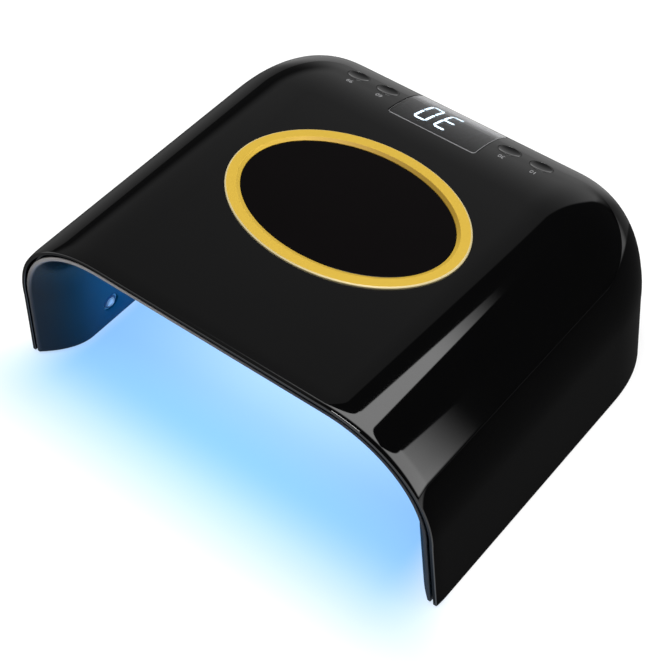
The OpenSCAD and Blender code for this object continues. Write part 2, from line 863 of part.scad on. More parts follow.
module dc_jack_pin() {
    color("#c8cbd0") placed() on_back(jack_height) translate([0, 0, -jack_bore_depth])
        cylinder(d = jack_pin, h = jack_bore_depth - pin_recess);
}

module dc_jack_nut() {
    washer_face = cover_wall + jack_pad;
    color("#aab0b6") placed() on_back(jack_height) translate([0, 0, -washer_face - nut_height])
        difference() {
            cylinder(d = nut_width / cos(30), h = nut_height, $fn = 6);
            translate([0, 0, -1]) cylinder(d = jack_barrel + 2 * plunger_gap, h = nut_height + 2);
        }
}

module dc_jack_contacts() {
    tab = [contact_size[0], contact_size[2], contact_size[1]];
    color("#d9b45a") placed() on_back(jack_height)
        for (side = [-1, 1])
            translate([side * contact_offset - tab[0] / 2, -tab[1] / 2, -jack_length - tab[2]]) cube(tab);
}

// A board along the local Y, with clearance holes for its screws
module light_board(width, from_y, to_y, screws) {
    translate([0, 0, seat_gap]) difference() {
        translate([-width / 2, from_y, 0]) cube([width, to_y - from_y, board_thickness]);
        for (spot = screws)
            translate([spot[0], spot[1], -1])
                cylinder(d = board_screw + 2 * seat_gap, h = board_thickness + 2);
    }
}

// A long board beside a row of lamps, on the place of its first lamp
module row_board(width, places) {
    light_board(
        width, -board_margin, places[len(places) - 1] - places[0] + board_margin,
        [for (y = row_screws(places)) [0, y - places[0]]]
    );
}

module roof_led_board() {
    color("#e6e4dc") placed() on_roof([0, roof_rows_y[0]])
        light_board(
            (roof_columns - 1) * roof_lamp_pitch + 2 * roof_board_margin, roof_board_front, roof_board_end,
            [for (spot = roof_screw_spots) [spot[0], spot[1] - roof_rows_y[0]]]
        );
}

module leg_led_board(side) {
    color("#e6e4dc") placed() on_leg(side, leg_rows_y[0]) row_board(leg_board_width, leg_rows_y);
}

module shoulder_led_board(side) {
    color("#e6e4dc") placed() on_shoulder(side, shoulder_rows_y[0])
        row_board(shoulder_board_width, shoulder_rows_y);
}

module left_led_board() leg_led_board(-1);
module right_led_board() leg_led_board(1);
module left_shoulder_led_board() shoulder_led_board(-1);
module right_shoulder_led_board() shoulder_led_board(1);
module rear_led_board() {
    color("#e6e4dc") placed() on_rear(rear_row_x[0]) row_board(rear_board_width, rear_row_x);
}

// A lamp: a round base against its board and a clear dome that reaches into the liner
module led() {
    base = seat_gap - led_base;
    dome_height = led_reach - led_base;
    color("#dfe6ff") rotate_extrude(convexity = 2)
        polygon(concat(
            [[0, seat_gap], [led_base_diameter / 2, seat_gap], [led_base_diameter / 2, base]],
            [for (a = [0:15:90]) [led_dome * cos(a), base - dome_height * sin(a)]]
        ));
}

module roof_leds() placed() for (spot = roof_spots) on_roof(spot) led();
module left_leds() placed() for (y = leg_rows_y) on_leg(-1, y) led();
module right_leds() placed() for (y = leg_rows_y) on_leg(1, y) led();
module left_shoulder_leds() placed() for (y = shoulder_rows_y) on_shoulder(-1, y) led();
module right_shoulder_leds() placed() for (y = shoulder_rows_y) on_shoulder(1, y) led();
module rear_leds() placed() for (x = rear_row_x) on_rear(x) led();

module led_board_screws() {
    color("#b9bcc0") placed() at_board_screws()
        translate([0, 0, seat_gap + board_thickness])
            board_screw_solid(seat_gap + board_thickness + screw_hold);
}

// A lead's connector on a board, with its mouth at a depth along the local Y
module lead_connector(x, mouth_y) {
    translate([x - connector[0] / 2, mouth_y - connector[1], seat_gap + board_thickness]) cube(connector);
}

function row_board_end(places) = places[len(places) - 1] + board_margin;

module board_connectors() {
    color("#ece9e0") placed() {
        on_roof([0, roof_rows_y[0]]) lead_connector(roof_connector_x, roof_board_end);
        for (side = [-1, 1]) {
            for (x = [-leg_connector_x, leg_connector_x])
                on_leg(side, 0) lead_connector(x, row_board_end(leg_rows_y));
            on_shoulder(side, 0) lead_connector(0, row_board_end(shoulder_rows_y));
        }
        on_rear(0) lead_connector(0, row_board_end(rear_row_x));
    }
}

// The pair that senses a hand: a clear emitter and a dark receiver
module sensor(side) {
    head = sensor_diameter / 2;
    placed() on_roof([side * sensor_spacing / 2, sensor_y]) {
        translate([0, 0, -sensor_reach]) cylinder(d = sensor_diameter, h = seat_gap + sensor_reach);
        intersection() {
            translate([0, 0, -sensor_reach]) sphere(r = head);
            translate([-head, -head, -sensor_reach - head]) cube([2 * head, 2 * head, head]);
        }
    }
}

module infrared_emitter() color("#e8ecf2") sensor(-1);
module infrared_receiver() color("#1a1a1c") sensor(1);

// Points on the panel, on a leg, on a shoulder and on the back, as the matching frames place them
function panel_point(u, v, w) = [
    u, key_row + v * cos(key_tilt) + w * sin(key_tilt), key_z - v * sin(key_tilt) + w * cos(key_tilt)
];
function leg_place(side, x, y, z) = [
    side * (side_at(leg_lamp_z, leg_thickness - liner_wall) + x * sin(side_draft) + z * cos(side_draft)),
    y, leg_lamp_z - x * cos(side_draft) + z * sin(side_draft)
];
function shoulder_place(side, y, z) =
    let (
        p = shoulder_point(shoulder_angle),
        ahead = shoulder_point(shoulder_angle + 1) - shoulder_point(shoulder_angle - 1),
        out = [ahead[1], -ahead[0]] / norm(ahead)
    )
    [side * (p[0] + z * out[0]), y, p[1] + z * out[1]];
function back_place(x, w) = [
    x, back_at(jack_height) + w * cos(back_draft), jack_height + w * sin(back_draft)
];
function rear_place(x, z) = [
    x,
    cavity_depth + liner_wall + front_at(rear_lamp_z) + z * cos(atan(lean)),
    rear_lamp_z + z * sin(atan(lean))
];

// A smooth curve through the points, which leaves each end along its first stretch
function curve_point(a, b, c, d, t) =
    0.5 * (2 * b + (c - a) * t + (2 * a - 5 * b + 4 * c - d) * t * t + (3 * b - a - 3 * c + d) * t * t * t);
function smooth_path(points) =
    let (
        last = len(points) - 1,
        all = concat([2 * points[0] - points[1]], points, [2 * points[last] - points[last - 1]])
    )
    concat(
        [
            for (i = [0:last - 1], k = [0:lead_steps - 1])
                curve_point(all[i], all[i + 1], all[i + 2], all[i + 3], k / lead_steps)
        ],
        [points[last]]
    );

function unit(v) = v / norm(v);
function direction(path, i) = unit(path[i + 1] - path[i - 1]);
// Side directions that turn as little as possible from ring to ring
function side_directions(ahead, i, before) =
    i == len(ahead) ? []
    : let (side = unit(before - (before * ahead[i]) * ahead[i]))
        concat([side], side_directions(ahead, i + 1, side));

// A lead whose ends are square to the first and the last stretch between its points
module lead(points) {
    path = smooth_path(points);
    last = len(points) - 1;
    ahead = concat(
        [unit(points[1] - points[0])],
        [for (i = [1:len(path) - 2]) direction(path, i)],
        [unit(points[last] - points[last - 1])]
    );
    start = abs(ahead[0][0]) < 0.9 ? [1, 0, 0] : [0, 1, 0];
    sides = side_directions(ahead, 0, start);
    loft([
        for (i = [0:len(path) - 1])
            let (other = cross(ahead[i], sides[i]))
            [
                for (k = [0:lead_sides - 1])
                    path[i] - lead_diameter / 2
                        * (sides[i] * cos(k * 360 / lead_sides) - other * sin(k * 360 / lead_sides))
            ]
    ]);
}

// A place just above the liner's rounded end, at an angle round it
function on_end(x, a) = [
    x,
    cavity_straight + (cavity_round + liner_wall + lead_diameter) * sin(a),
    liner_roof + lead_diameter * cos(a) - roof_drop * (1 - cos(a))
];

// The last stretch of a lead, up into a socket under the control board
function into_socket(u, v = socket_v) = [
    panel_point(u, v, -board_bottom - socket_size[2] - 3 * lead_diameter),
    panel_point(u, v, -board_bottom - socket_size[2])
];

module roof_lead() {
    start = [roof_connector_x, row_board_end(roof_rows_y), liner_roof + connector_middle];
    across = socket_places[1] - roof_connector_x;
    color("#e8e8e8") placed() lead(concat(
        [
            start,
            start + [0, 2.5 * lead_diameter, 0],
            for (a = [20, 40, 57, 70]) on_end(start[0] + across * (1 - cos(a)), a)
        ],
        into_socket(socket_places[1])
    ));
}

module leg_lead(side) {
    start = leg_place(side, leg_connector_x, row_board_end(leg_rows_y), connector_middle);
    color("#e8e8e8") placed() lead(concat(
        [
            start,
            start + [0, 3 * lead_diameter, 0],
            start + lead_diameter * [-side * 0.75, 11.5, 2],
            [
                side * (flat_half + 0.635 * shoulder_reach),
                cavity_straight + 0.8 * cavity_round,
                shoulder_z - 1.5 * lead_diameter
            ],
            [
                side * (flat_half + 0.31 * shoulder_reach),
                rise_y - lead_diameter / 2,
                shoulder_z + 0.22 * shoulder_rise
            ],
            [
                side * (flat_half - lead_diameter / 2),
                rise_y + lead_diameter / 2,
                shoulder_z + 0.35 * shoulder_rise
            ]
        ],
        into_socket(side * socket_places[4])
    ));
}

module shoulder_lead(side) {
    start = shoulder_place(side, row_board_end(shoulder_rows_y), connector_middle);
    end = leg_place(side, -leg_connector_x, row_board_end(leg_rows_y), connector_middle);
    color("#e8e8e8") placed() lead([
        start,
        start + lead_diameter * [0, 2, 0],
        start + lead_diameter * [side * 3, 4.5, -6],
        end + lead_diameter * [side * 0.25, 7, 9],
        end + lead_diameter * [0, 3, 1.5],
        end + lead_diameter * [0, 1, 0],
        end
    ]);
}

module rear_lead() {
    start = rear_place(row_board_end(rear_row_x), connector_middle);
    color("#e8e8e8") placed() lead(concat(
        [
            start,
            start + lead_diameter * [2.5, 0, 0],
            start + lead_diameter * [4.5, 2.5, 5],
            [start[0], rise_y, rear_lamp_z] + lead_diameter * [1.5, 1.5, 12.5],
            [start[0], rise_y, rear_lamp_z] + lead_diameter * [-7, 1, 18]
        ],
        into_socket(socket_places[3])
    ));
}

module power_lead(side) {
    start = back_place(side * contact_offset, -jack_length - contact_size[1]);
    placed() lead(concat(
        [
            start,
            back_place(side * contact_offset, -jack_length - contact_size[1] - 1.25 * lead_diameter),
            start + lead_diameter * [side * 0.3, -1.7, 3.5],
            start + lead_diameter * [side * 0.2, -0.8, 11]
        ],
        into_socket(side * contact_offset)
    ));
}

module power_lead_red() color("#b3261e") power_lead(1);
module power_lead_black() color("#1a1a1a") power_lead(-1);
module left_lead() leg_lead(-1);
module right_lead() leg_lead(1);
module left_shoulder_lead() shoulder_lead(-1);
module right_shoulder_lead() shoulder_lead(1);

// The screws that hold the liner in the cover, driven from underneath
module cover_screws() {
    color("#8e9296") placed() at_cover_screws() {
        translate([0, 0, liner_base + cover_head_recess])
            cylinder(d = cover_head, h = cover_head_height - cover_head_recess);
        translate([0, 0, liner_base + cover_head_height / 2])
            cylinder(d = cover_screw, h = boss_base + boss_height - 2 * boss_floor - liner_base);
    }
}

// A rubber foot in its recess in the rim
module foot() {
    color("#2a2a2b") stadium(foot_length, foot_width, liner_base + foot_sink);
}

module foot_front_left() placed() at_front_foot(-1) foot();
module foot_front_right() placed() at_front_foot(1) foot();
module foot_rear_left() placed() at_rear_foot(-1) foot();
module foot_rear_right() placed() at_rear_foot(1) foot();

outer_cover();
inner_liner();
gold_ring();
oval_inlay();
display_window();
button_10();
button_30();
button_60();
button_99();
switch_plunger_10();
switch_plunger_30();
switch_plunger_60();
switch_plunger_99();
tact_switch_10();
tact_switch_30();
tact_switch_60();
tact_switch_99();
control_board();
control_board_chips();
lead_sockets();
control_board_screws();
display_module();
digit_segments_lit();
digit_segments_dark();
dc_jack();
dc_jack_pin();
dc_jack_contacts();
dc_jack_nut();
roof_led_board();
left_led_board();
right_led_board();
rear_led_board();
left_shoulder_led_board();
right_shoulder_led_board();
roof_leds();
left_leds();
right_leds();
rear_leds();
left_shoulder_leds();
right_shoulder_leds();
led_board_screws();
board_connectors();
infrared_emitter();
infrared_receiver();
power_lead_red();
power_lead_black();
roof_lead();
left_lead();
right_lead();
rear_lead();
left_shoulder_lead();
right_shoulder_lead();
cover_screws();
foot_front_left();
foot_front_right();
foot_rear_left();
foot_rear_right();
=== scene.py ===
"""The looks of an arch-shaped LED nail lamp with a gilt oval, a curved display and four dished keys.

Sizes are in millimetres until a mesh is made. Depths count from the front edge, heights from the table.
"""

import json
import math

import bpy
import numpy as np
from mathutils import Matrix, Vector
from mathutils.geometry import delaunay_2d_cdt

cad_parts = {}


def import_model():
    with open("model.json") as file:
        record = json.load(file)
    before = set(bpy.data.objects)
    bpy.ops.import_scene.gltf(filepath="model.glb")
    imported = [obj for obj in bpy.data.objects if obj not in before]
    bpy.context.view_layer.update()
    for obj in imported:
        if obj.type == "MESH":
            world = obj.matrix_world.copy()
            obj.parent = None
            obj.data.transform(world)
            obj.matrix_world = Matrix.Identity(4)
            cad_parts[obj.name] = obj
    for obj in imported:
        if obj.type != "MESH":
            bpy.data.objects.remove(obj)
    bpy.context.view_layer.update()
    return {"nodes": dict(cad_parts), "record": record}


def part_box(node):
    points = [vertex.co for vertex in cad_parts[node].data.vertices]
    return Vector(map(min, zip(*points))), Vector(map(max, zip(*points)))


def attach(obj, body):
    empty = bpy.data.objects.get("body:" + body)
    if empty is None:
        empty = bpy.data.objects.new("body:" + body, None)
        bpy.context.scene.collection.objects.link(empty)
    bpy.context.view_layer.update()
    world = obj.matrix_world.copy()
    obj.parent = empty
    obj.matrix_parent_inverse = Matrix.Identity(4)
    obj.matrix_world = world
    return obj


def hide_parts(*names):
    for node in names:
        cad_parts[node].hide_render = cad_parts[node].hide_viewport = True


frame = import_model()

METRE = 0.001
DEGREES = 180 / math.pi
LAMP = "lamp_body"

# The body's form
BODY_WIDTH = 225
BODY_DEPTH = 190
BODY_HEIGHT = 90
FOOT_STAND = 1
FRONT_LEAN = 3.2
LEAN = FRONT_LEAN / (BODY_HEIGHT - FOOT_STAND)
SIDE_DRAFT = math.radians(4.2)
BACK_DRAFT = math.radians(7)
SHOULDER_REACH = 52
SHOULDER_RISE = 51
SHOULDER_POWER = 2.05
BACK_REACH = 51
BACK_RISE = 37
BACK_POWER = 2.45
CORNER_POWER = 2.35
COVER_WALL = 2.2
SHOULDER_Z = BODY_HEIGHT - SHOULDER_RISE
BACK_CURVE_Z = BODY_HEIGHT - BACK_RISE
FLAT_HALF = BODY_WIDTH / 2 - (SHOULDER_Z - FOOT_STAND) * math.tan(SIDE_DRAFT) - SHOULDER_REACH
BACK_CURVE_Y = BODY_DEPTH - (BACK_CURVE_Z - FOOT_STAND) * math.tan(BACK_DRAFT) - BACK_REACH
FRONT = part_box("outer_cover")[0][1] / METRE + FRONT_LEAN

# The cover's front edge: it rolls off ever faster, then turns over a small radius
EDGE_ROLL = 8
EDGE_ROLL_ANGLE = math.radians(9)
EDGE_RADIUS = 0.5
ARRIS = 0.3

# The mouth and the liner
LIP_INSET = 3.4
LIP_BACK = 4.8
GROOVE_DEPTH = 3
TONGUE_INSET = 2.65
TONGUE_DEPTH = 5
LINER_WALL = 2
LEG_THICKNESS = 17.7
ROOF_THICKNESS = 11.6
LEG_NOSE = 22
ROOF_NOSE = 10
CAVITY_STRAIGHT = 112
CAVITY_ROUND = 46
SIDE_CLOSE = 28.3
ROOF_DROP = 34
LINER_BASE = 1.6
RIM_TOP = 4.0

# The oval on the roof
RING_CENTRE = 86.6
RING_HALF = (56.9, 40.1)
RING_BAND = 6.6
RING_RISE = 1
POCKET_DEPTH = 1.1
SEAT_GAP = 0.15

# The keys and the display
KEY_ROW = 159.3
KEY_TILT = math.radians(17.9942)
KEY_Z = 86.7004
KEY_PLACES = {"10": 48.8, "30": 32.6, "60": -32.6, "99": -48.8}
KEY_HALF = (5.5, 4.1)
KEY_PLAY = 0.12
KEY_DISH = 0.85
DISH_MARGIN = 0.3
KEY_TOP = 0.1
COLLAR_DEPTH = 3.4
COLLAR_WALL = 1
FLANGE_TOP = 3.5
FLANGE_THICKNESS = 0.8
FLANGE_OVERHANG = 0.9
STEM_RADIUS = 1.6
STEM_END = 6.3
WINDOW_HALF_WIDTH = 23
WINDOW_SPAN = (145.8, 172.8)
WINDOW_THICKNESS = 1.4
WINDOW_LEDGE = 1.6
WINDOW_BEVEL = 0.25
WINDOW_PLAY = 0.3
LABEL_HEIGHT = 3.2
LABEL_OFFSET = 6.9

# How glossy the cover's steep walls are
WALL_GLOSS = 0.035

# The depths over which the liner's painted blue lamplight grows
MOUTH_SPAN = (0, 50)

# The shades of the liner and of the ring, and where they change: the liner's inner blue is painted
# lamplight, the lip's pale patch a painted highlight, the ring's dark gold painted shade and its pale edge
# a painted highlight
LINER_NOSE = (0.003, 0.0076, 0.0118)
LINER_PAINTED_GLOW = (0.002, 0.084, 0.114)
LIP_PAINTED_HIGHLIGHT = (0.2, 0.19, 0.185)
LIP_DARK = (0.02, 0.022, 0.026)
LIP_FADE = (-75, 60)
LIP_RISE = (35, 80)
LIP_SPAN = (0.1, 0.9)
GOLD = (0.475, 0.313, 0.039)
GOLD_PAINTED_SHADE = (0.2, 0.12, 0.014)
GOLD_PAINTED_HIGHLIGHT = (0.52, 0.44, 0.24)
GOLD_TURN = (0.05, 0.5)
GOLD_EDGE = (0.984, 0.99)

# The lamps
LAMP_OPENING = 4.5
LAMP_BASE_RADIUS = 3.5
LAMP_DOME = (2.5, 1.4)
LAMP_BASE_DEPTH = 0.65
ROOF_LAMPS = [(x, y) for x in (-24, 0, 24) for y in (31, 55, 79, 103)]
LEG_LAMPS = (35, 56, 77, 98)
LEG_LAMP_Z = 13
SHOULDER_LAMPS = (25, 50, 75, 100)
SHOULDER_ANGLE = math.radians(48)
REAR_LAMPS = (-36, -12, 12, 36)
REAR_LAMP_Z = 21
DISH_DEPTH = 1.5
DISH_RADIUS = 8
SHOULDER_DISH = (15, 12)
SHOULDER_DISH_SHIFT = (5, -6)

# The inlet, the feet and the screws
JACK_Z = 20
JACK_FLANGE = 6.95
JACK_BARREL = 4.15
FEET = [
    (side * x, y, turned)
    for side in (1, -1)
    for x, y, turned in ((102.33, 24, True), (69.71, 169, False))
]
FOOT_HALF_LENGTH = 11
FOOT_RADIUS = 4
FOOT_SINK = 1
COVER_SCREWS = [(side * x, y) for side in (1, -1) for x, y in ((106.97, 44), (106.97, 119), (40, 184.3))]
SCREW_RECESS = 2.6
SCREW_SINK = 1.2

# How far rims and edges are rounded
KEY_RIM = 0.1
WINDOW_RIM = 0.25
POCKET_RIM = 0.12
JACK_RIM = 0.2
RECESS_RIM = 0.15
LIP_ROUND = 0.35
KEY_ROUND = 0.12
INLAY_ROUND = 0.2
LAMP_ROUND = 0.15

# How many corners the round outlines have
KEY_SIDES = 48
STEM_SIDES = 24
JACK_SIDES = 48
OVAL_SIDES = 160
RING_SIDES = 200
SCREW_SIDES = 32
LAMP_SIDES = 24
BASE_SIDES = 28


# Curves and profiles
def unit(vector):
    length = math.sqrt(sum(c * c for c in vector))
    return tuple(c / length for c in vector)


def add(one, two, share=1.0):
    return tuple(a + b * share for a, b in zip(one, two))


def scaled(vector, factor):
    return tuple(c * factor for c in vector)


def cross(one, two):
    return (
        one[1] * two[2] - one[2] * two[1],
        one[2] * two[0] - one[0] * two[2],
        one[0] * two[1] - one[1] * two[0],
    )


def turns_round(count):
    return [2 * math.pi * k / count for k in range(count)]


def front_at(height):
    """Depth of the leaning front edge at a height."""
    return -LEAN * (height - FOOT_STAND)


def soft_max(one, two, softness=0.03):
    return (one + two + math.hypot(one - two, softness)) / 2


class Bend:
    """The run from the flat roof over a curved edge and down a drafted wall, as places outward and up."""

    FINE = 400

    def __init__(self, edge, crown, reach, rise, power, draft):
        self.edge, self.crown, self.reach, self.rise, self.power = edge, crown, reach, rise, power
        self.base = crown - rise
        self.draft = draft
        self.turns = [math.pi / 2 * k / self.FINE for k in range(self.FINE + 1)]
        curve = [self.curve(turn) for turn in self.turns]
        self.runs = [0.0]
        for one, two in zip(curve, curve[1:]):
            self.runs.append(self.runs[-1] + math.dist(one, two))
        self.length = self.runs[-1]

    def curve(self, turn, side=0.0, top=0.0):
        share = 2 / self.power
        out = self.edge + (self.reach - side) * max(math.sin(turn), 0) ** share
        return out, self.base + (self.rise - top) * max(math.cos(turn), 0) ** share

    def slope(self, height, side=0.0, top=0.0):
        """How steeply the wall leans in at a height, blended where the curve meets the straight wall."""
        share = min(max((height - self.base) / (self.rise - top), 0), 1)
        left = 1 - share**self.power
        if left < 1e-9:
            return 1e6
        lean = (self.reach - side) / (self.rise - top)
        curved = lean * share ** (self.power - 1) * left ** (1 / self.power - 1)
        return soft_max(math.tan(self.draft), curved)

    def wall(self, height, side=0.0):
        return self.edge + self.reach - side + (self.base - height) * math.tan(self.draft)

    def normal(self, height, side=0.0, top=0.0):
        return unit((1, self.slope(height, side, top)))

    def at_turn(self, turn, side=0.0, top=0.0):
        out, up = self.curve(turn, side, top)
        return out, up, *self.normal(up, side, top)

    def at_height(self, height, side=0.0, top=0.0):
        """The point of the wall, or of the curve above it, at a height."""
        if height <= self.base:
            return self.wall(height, side), height, *self.normal(height, side, top)
        share = min((height - self.base) / (self.rise - top), 1)
        return self.at_turn(math.acos(share ** (self.power / 2)), side, top)

    def at_run(self, run, side=0.0, top=0.0):
        """The point at a distance along the uninset curve from the roof's edge, negative on the roof."""
        if run <= 0:
            return self.edge + run, self.crown - top, 0.0, 1.0
        if run < self.length:
            return self.at_turn(float(np.interp(run, self.runs, self.turns)), side, top)
        return self.at_height(self.base - (run - self.length) * math.cos(self.draft), side, top)

    def run_at_turn(self, turn):
        return float(np.interp(turn, self.turns, self.runs))

    def run_at_height(self, height, top=0.0):
        if height <= self.base:
            return self.length + (self.base - height) / math.cos(self.draft)
        share = min((height - self.base) / (self.rise - top), 1)
        return self.run_at_turn(math.acos(share ** (self.power / 2)))

    def run_at_out(self, out):
        if out <= self.edge:
            return out - self.edge
        share = min((out - self.edge) / self.reach, 1)
        return self.run_at_turn(math.asin(share ** (self.power / 2)))


SIDE = Bend(FLAT_HALF, BODY_HEIGHT, SHOULDER_REACH, SHOULDER_RISE, SHOULDER_POWER, SIDE_DRAFT)
BACK = Bend(BACK_CURVE_Y, BODY_HEIGHT, BACK_REACH, BACK_RISE, BACK_POWER, BACK_DRAFT)
LINER = Bend(
    FLAT_HALF,
    BODY_HEIGHT - ROOF_THICKNESS,
    SHOULDER_REACH - LEG_THICKNESS,
    SHOULDER_RISE - ROOF_THICKNESS,
    SHOULDER_POWER,
    SIDE_DRAFT,
)


def section(points, radius=0.0, turn=1, closed=False, steps=4):
    """A profile through the points with rounded corners, as places with normals.

    The normals lie to the left of the way it runs for a turn of 1, and to the right for -1.
    """
    count = len(points)
    path = []
    for i, point in enumerate(points):
        inward = unit(add(point, points[i - 1], -1)) if closed or i > 0 else None
        onward = unit(add(points[(i + 1) % count], point, -1)) if closed or i < count - 1 else None
        inward, onward = inward or onward, onward or inward
        starts = (-turn * inward[1], turn * inward[0])
        ends = (-turn * onward[1], turn * onward[0])
        bend = math.atan2(
            inward[0] * onward[1] - inward[1] * onward[0], inward[0] * onward[0] + inward[1] * onward[1]
        )
        rounding = radius[i] if isinstance(radius, (list, tuple)) else radius
        if abs(bend) < 1e-6:
            path.append((*point, *ends))
            continue
        if rounding == 0:
            path += [(*point, *starts), (*point, *ends)]
            continue
        start = add(point, inward, -rounding * math.tan(abs(bend) / 2))
        left = (-inward[1], inward[0])
        centre = add(start, left, math.copysign(rounding, bend))
        arm = add(start, centre, -1)
        for k in range(steps + 1):
            c, s = math.cos(bend * k / steps), math.sin(bend * k / steps)
            place = (centre[0] + arm[0] * c - arm[1] * s, centre[1] + arm[0] * s + arm[1] * c)
            path.append((*place, starts[0] * c - starts[1] * s, starts[0] * s + starts[1] * c))
    return path + path[:1] if closed else path


def oval(half_x, half_y, count):
    """Points of an ellipse with their outward normals."""
    return [
        ((half_x * math.cos(t), half_y * math.sin(t)), unit((half_y * math.cos(t), half_x * math.sin(t))))
        for t in turns_round(count)
    ]


def rounded_box(half_x, half_y, radius, steps=5):
    """Points of a rectangle with round corners, with their outward normals."""
    loop = []
    for k, (sx, sy) in enumerate(((1, 1), (-1, 1), (-1, -1), (1, -1))):
        for step in range(steps + 1):
            t = math.pi / 2 * (k + step / steps)
            normal = (math.cos(t), math.sin(t))
            centre = (sx * (half_x - radius), sy * (half_y - radius))
            loop.append((add(centre, normal, radius), normal))
    return loop


# Meshes
class Shell:
    """A mesh whose corners carry their own normals and are welded where they meet."""

    PLACES_PER_MILLIMETRE = 1000
    SNAP = 1e-5

    def __init__(self):
        self.places = []
        self.numbers = {}
        self.faces = []
        self.normals = []

    def number(self, place):
        key = tuple(round(c * self.PLACES_PER_MILLIMETRE) for c in place)
        if key not in self.numbers:
            self.numbers[key] = len(self.places)
            self.places.append(place)
        return self.numbers[key]

    def face(self, corners):
        kept = {}
        for place, normal in corners:
            kept.setdefault(self.number(place), normal)
        if len(kept) < 3:
            return
        order = list(kept)
        first = Vector(self.places[order[0]])
        arms = [Vector(self.places[n]) - first for n in order[1:]]
        turning = sum((one.cross(two) for one, two in zip(arms, arms[1:])), Vector((0, 0, 0)))
        facing = sum((Vector(normal) for normal in kept.values()), Vector((0, 0, 0)))
        if turning.dot(facing) < 0:
            order.reverse()
        self.faces.append(order)
        self.normals += [kept[n] for n in order]

    def grid(self, rows, closed=False):
        """Joins rows of corners of one length."""
        for one, two in zip(rows, rows[1:]):
            count = len(one)
            for i in range(count if closed else count - 1):
                j = (i + 1) % count
                self.face((one[i], one[j], two[j], two[i]))

    def fill(self, outline, holes=(), inner=(), gap=1.2):
        """Fills an outline round its holes. A loop is a list of flat places, each with its corner."""
        items, edges = [], []
        for loop in (outline, *holes):
            first = len(items)
            items += loop
            edges += [(first + i, first + (i + 1) % len(loop)) for i in range(len(loop))]
        rims = [np.array([flat for flat, corner in loop]) for loop in holes]
        if inner:
            flats = np.array([flat for flat, corner in inner])
            clear = np.ones(len(inner), bool)
            for rim in rims:
                clear &= np.hypot(*(flats[:, None] - rim[None]).transpose(2, 0, 1)).min(axis=1) > gap
                clear &= ~within(rim, flats)
            items += [item for item, kept in zip(inner, clear) if kept]
        found = delaunay_2d_cdt([Vector(flat) for flat, corner in items], edges, [], 1, self.SNAP, True)
        source = [given[0] for given in found[3]]
        triangles = [[items[source[v]] for v in triangle] for triangle in found[2]]
        middles = np.array([np.mean([flat for flat, corner in known], axis=0) for known in triangles])
        solid = within(np.array([flat for flat, corner in outline]), middles)
        for rim in rims:
            solid &= ~within(rim, middles)
        for known, filled in zip(triangles, solid):
            if filled:
                self.face([corner for flat, corner in known])

    def build(self, name, slot, finish, body=LAMP, replaces=()):
        mesh = bpy.data.meshes.new(name)
        shown = [(x * METRE, (y + FRONT) * METRE, z * METRE) for x, y, z in self.places]
        mesh.from_pydata(shown, [], self.faces)
        mesh.polygons.foreach_set("use_smooth", [True] * len(mesh.polygons))
        mesh.normals_split_custom_set([unit(normal) for normal in self.normals])
        return show(bpy.data.objects.new(name, mesh), finish, body, replaces)


def within(rim, points):
    """Which of the points lie inside a closed loop of flat places."""
    x, y = points[:, :1], points[:, 1:]
    ax, ay = rim[:, 0], rim[:, 1]
    bx, by = np.roll(ax, -1), np.roll(ay, -1)
    crosses = (ay > y) != (by > y)
    with np.errstate(divide="ignore", invalid="ignore"):
        reach = ax + (y - ay) * (bx - ax) / (by - ay)
    return np.count_nonzero(crosses & (x < reach), axis=1) % 2 == 1


def link(piece):
    bpy.context.scene.collection.objects.link(piece)
    return piece


def show(piece, finish, body=LAMP, replaces=()):
    """Puts a finished piece in the scene, on the body that it rides on."""
    link(piece)
    piece.data.materials.append(finish)
    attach(piece, body)
    if replaces:
        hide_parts(*replaces)
    return piece


def corners(ring):
    return [corner for flat, corner in ring]


def faced(ring, normal):
    """The same ring with one normal at all its corners."""
    return [(flat, (corner[0], normal)) for flat, corner in ring]


def swept(shell, loop, path, surface):
    """Rings of corners round a loop, one for each step of a profile of offset and height."""
    rings = []
    for offset, height, normal_out, normal_up in path:
        ring = []
        for point, outward in loop:
            flat = add(point, outward, offset)
            place, up, across, along = surface(flat, height)
            out = tuple(outward[0] * a + outward[1] * b for a, b in zip(across, along))
            ring.append((flat, (place, add(scaled(up, normal_up), out, normal_out))))
        rings.append(ring)
    shell.grid([corners(ring) for ring in rings], closed=True)
    return rings


def moved(loop, centre):
    return [(add(point, centre), normal) for point, normal in loop]


UP = (0, 0, 1)
DOWN = (0, 0, -1)


def level(height, facing=1):
    """A flat surface that looks up, or down for a facing of -1."""

    def surface(flat, above):
        return (*flat, height + facing * above), (0, 0, facing), (1, 0, 0), (0, 1, 0)

    return surface


def back_skin(flat, height):
    """The cover's middle, from the roof over the rear edge and down the back."""
    across, run = flat
    out, up, normal_out, normal_up = BACK.at_run(run, -height, -height)
    return (across, out, up), (0, normal_out, normal_up), (1, 0, 0), (0, normal_up, -normal_out)


def on_skin(flat, height, facing):
    """A corner on the cover's middle, looking out, or in for a facing of -1."""
    place, up, *rest = back_skin(flat, height)
    return place, scaled(up, facing)


def key_panel(flat, height):
    """The tilted plane of the keys."""
    u, v = flat
    c, s = math.cos(KEY_TILT), math.sin(KEY_TILT)
    place = (u, KEY_ROW + v * c + height * s, KEY_Z - v * s + height * c)
    return place, (0, s, c), (1, 0, 0), (0, c, -s)


# The stations of the arch, shared by the cover and the liner
WALL_HEIGHTS = (8, 16, 24, 30, 35)
SHOULDER_TURNS = [math.pi / 2 * (1 - k / 36) for k in range(37)]
ROOF_SHARES = [1 - k / 8 for k in range(1, 9)]


def half_arch(side, top, foot):
    """The arch from the right foot to the roof's middle, with its normals."""
    wall = [SIDE.at_height(height, side, top) for height in (foot, *WALL_HEIGHTS)]
    shoulder = [SIDE.at_turn(turn, side, top) for turn in SHOULDER_TURNS]
    roof = [(FLAT_HALF * share, BODY_HEIGHT - top, 0.0, 1.0) for share in ROOF_SHARES]
    return wall + shoulder + roof


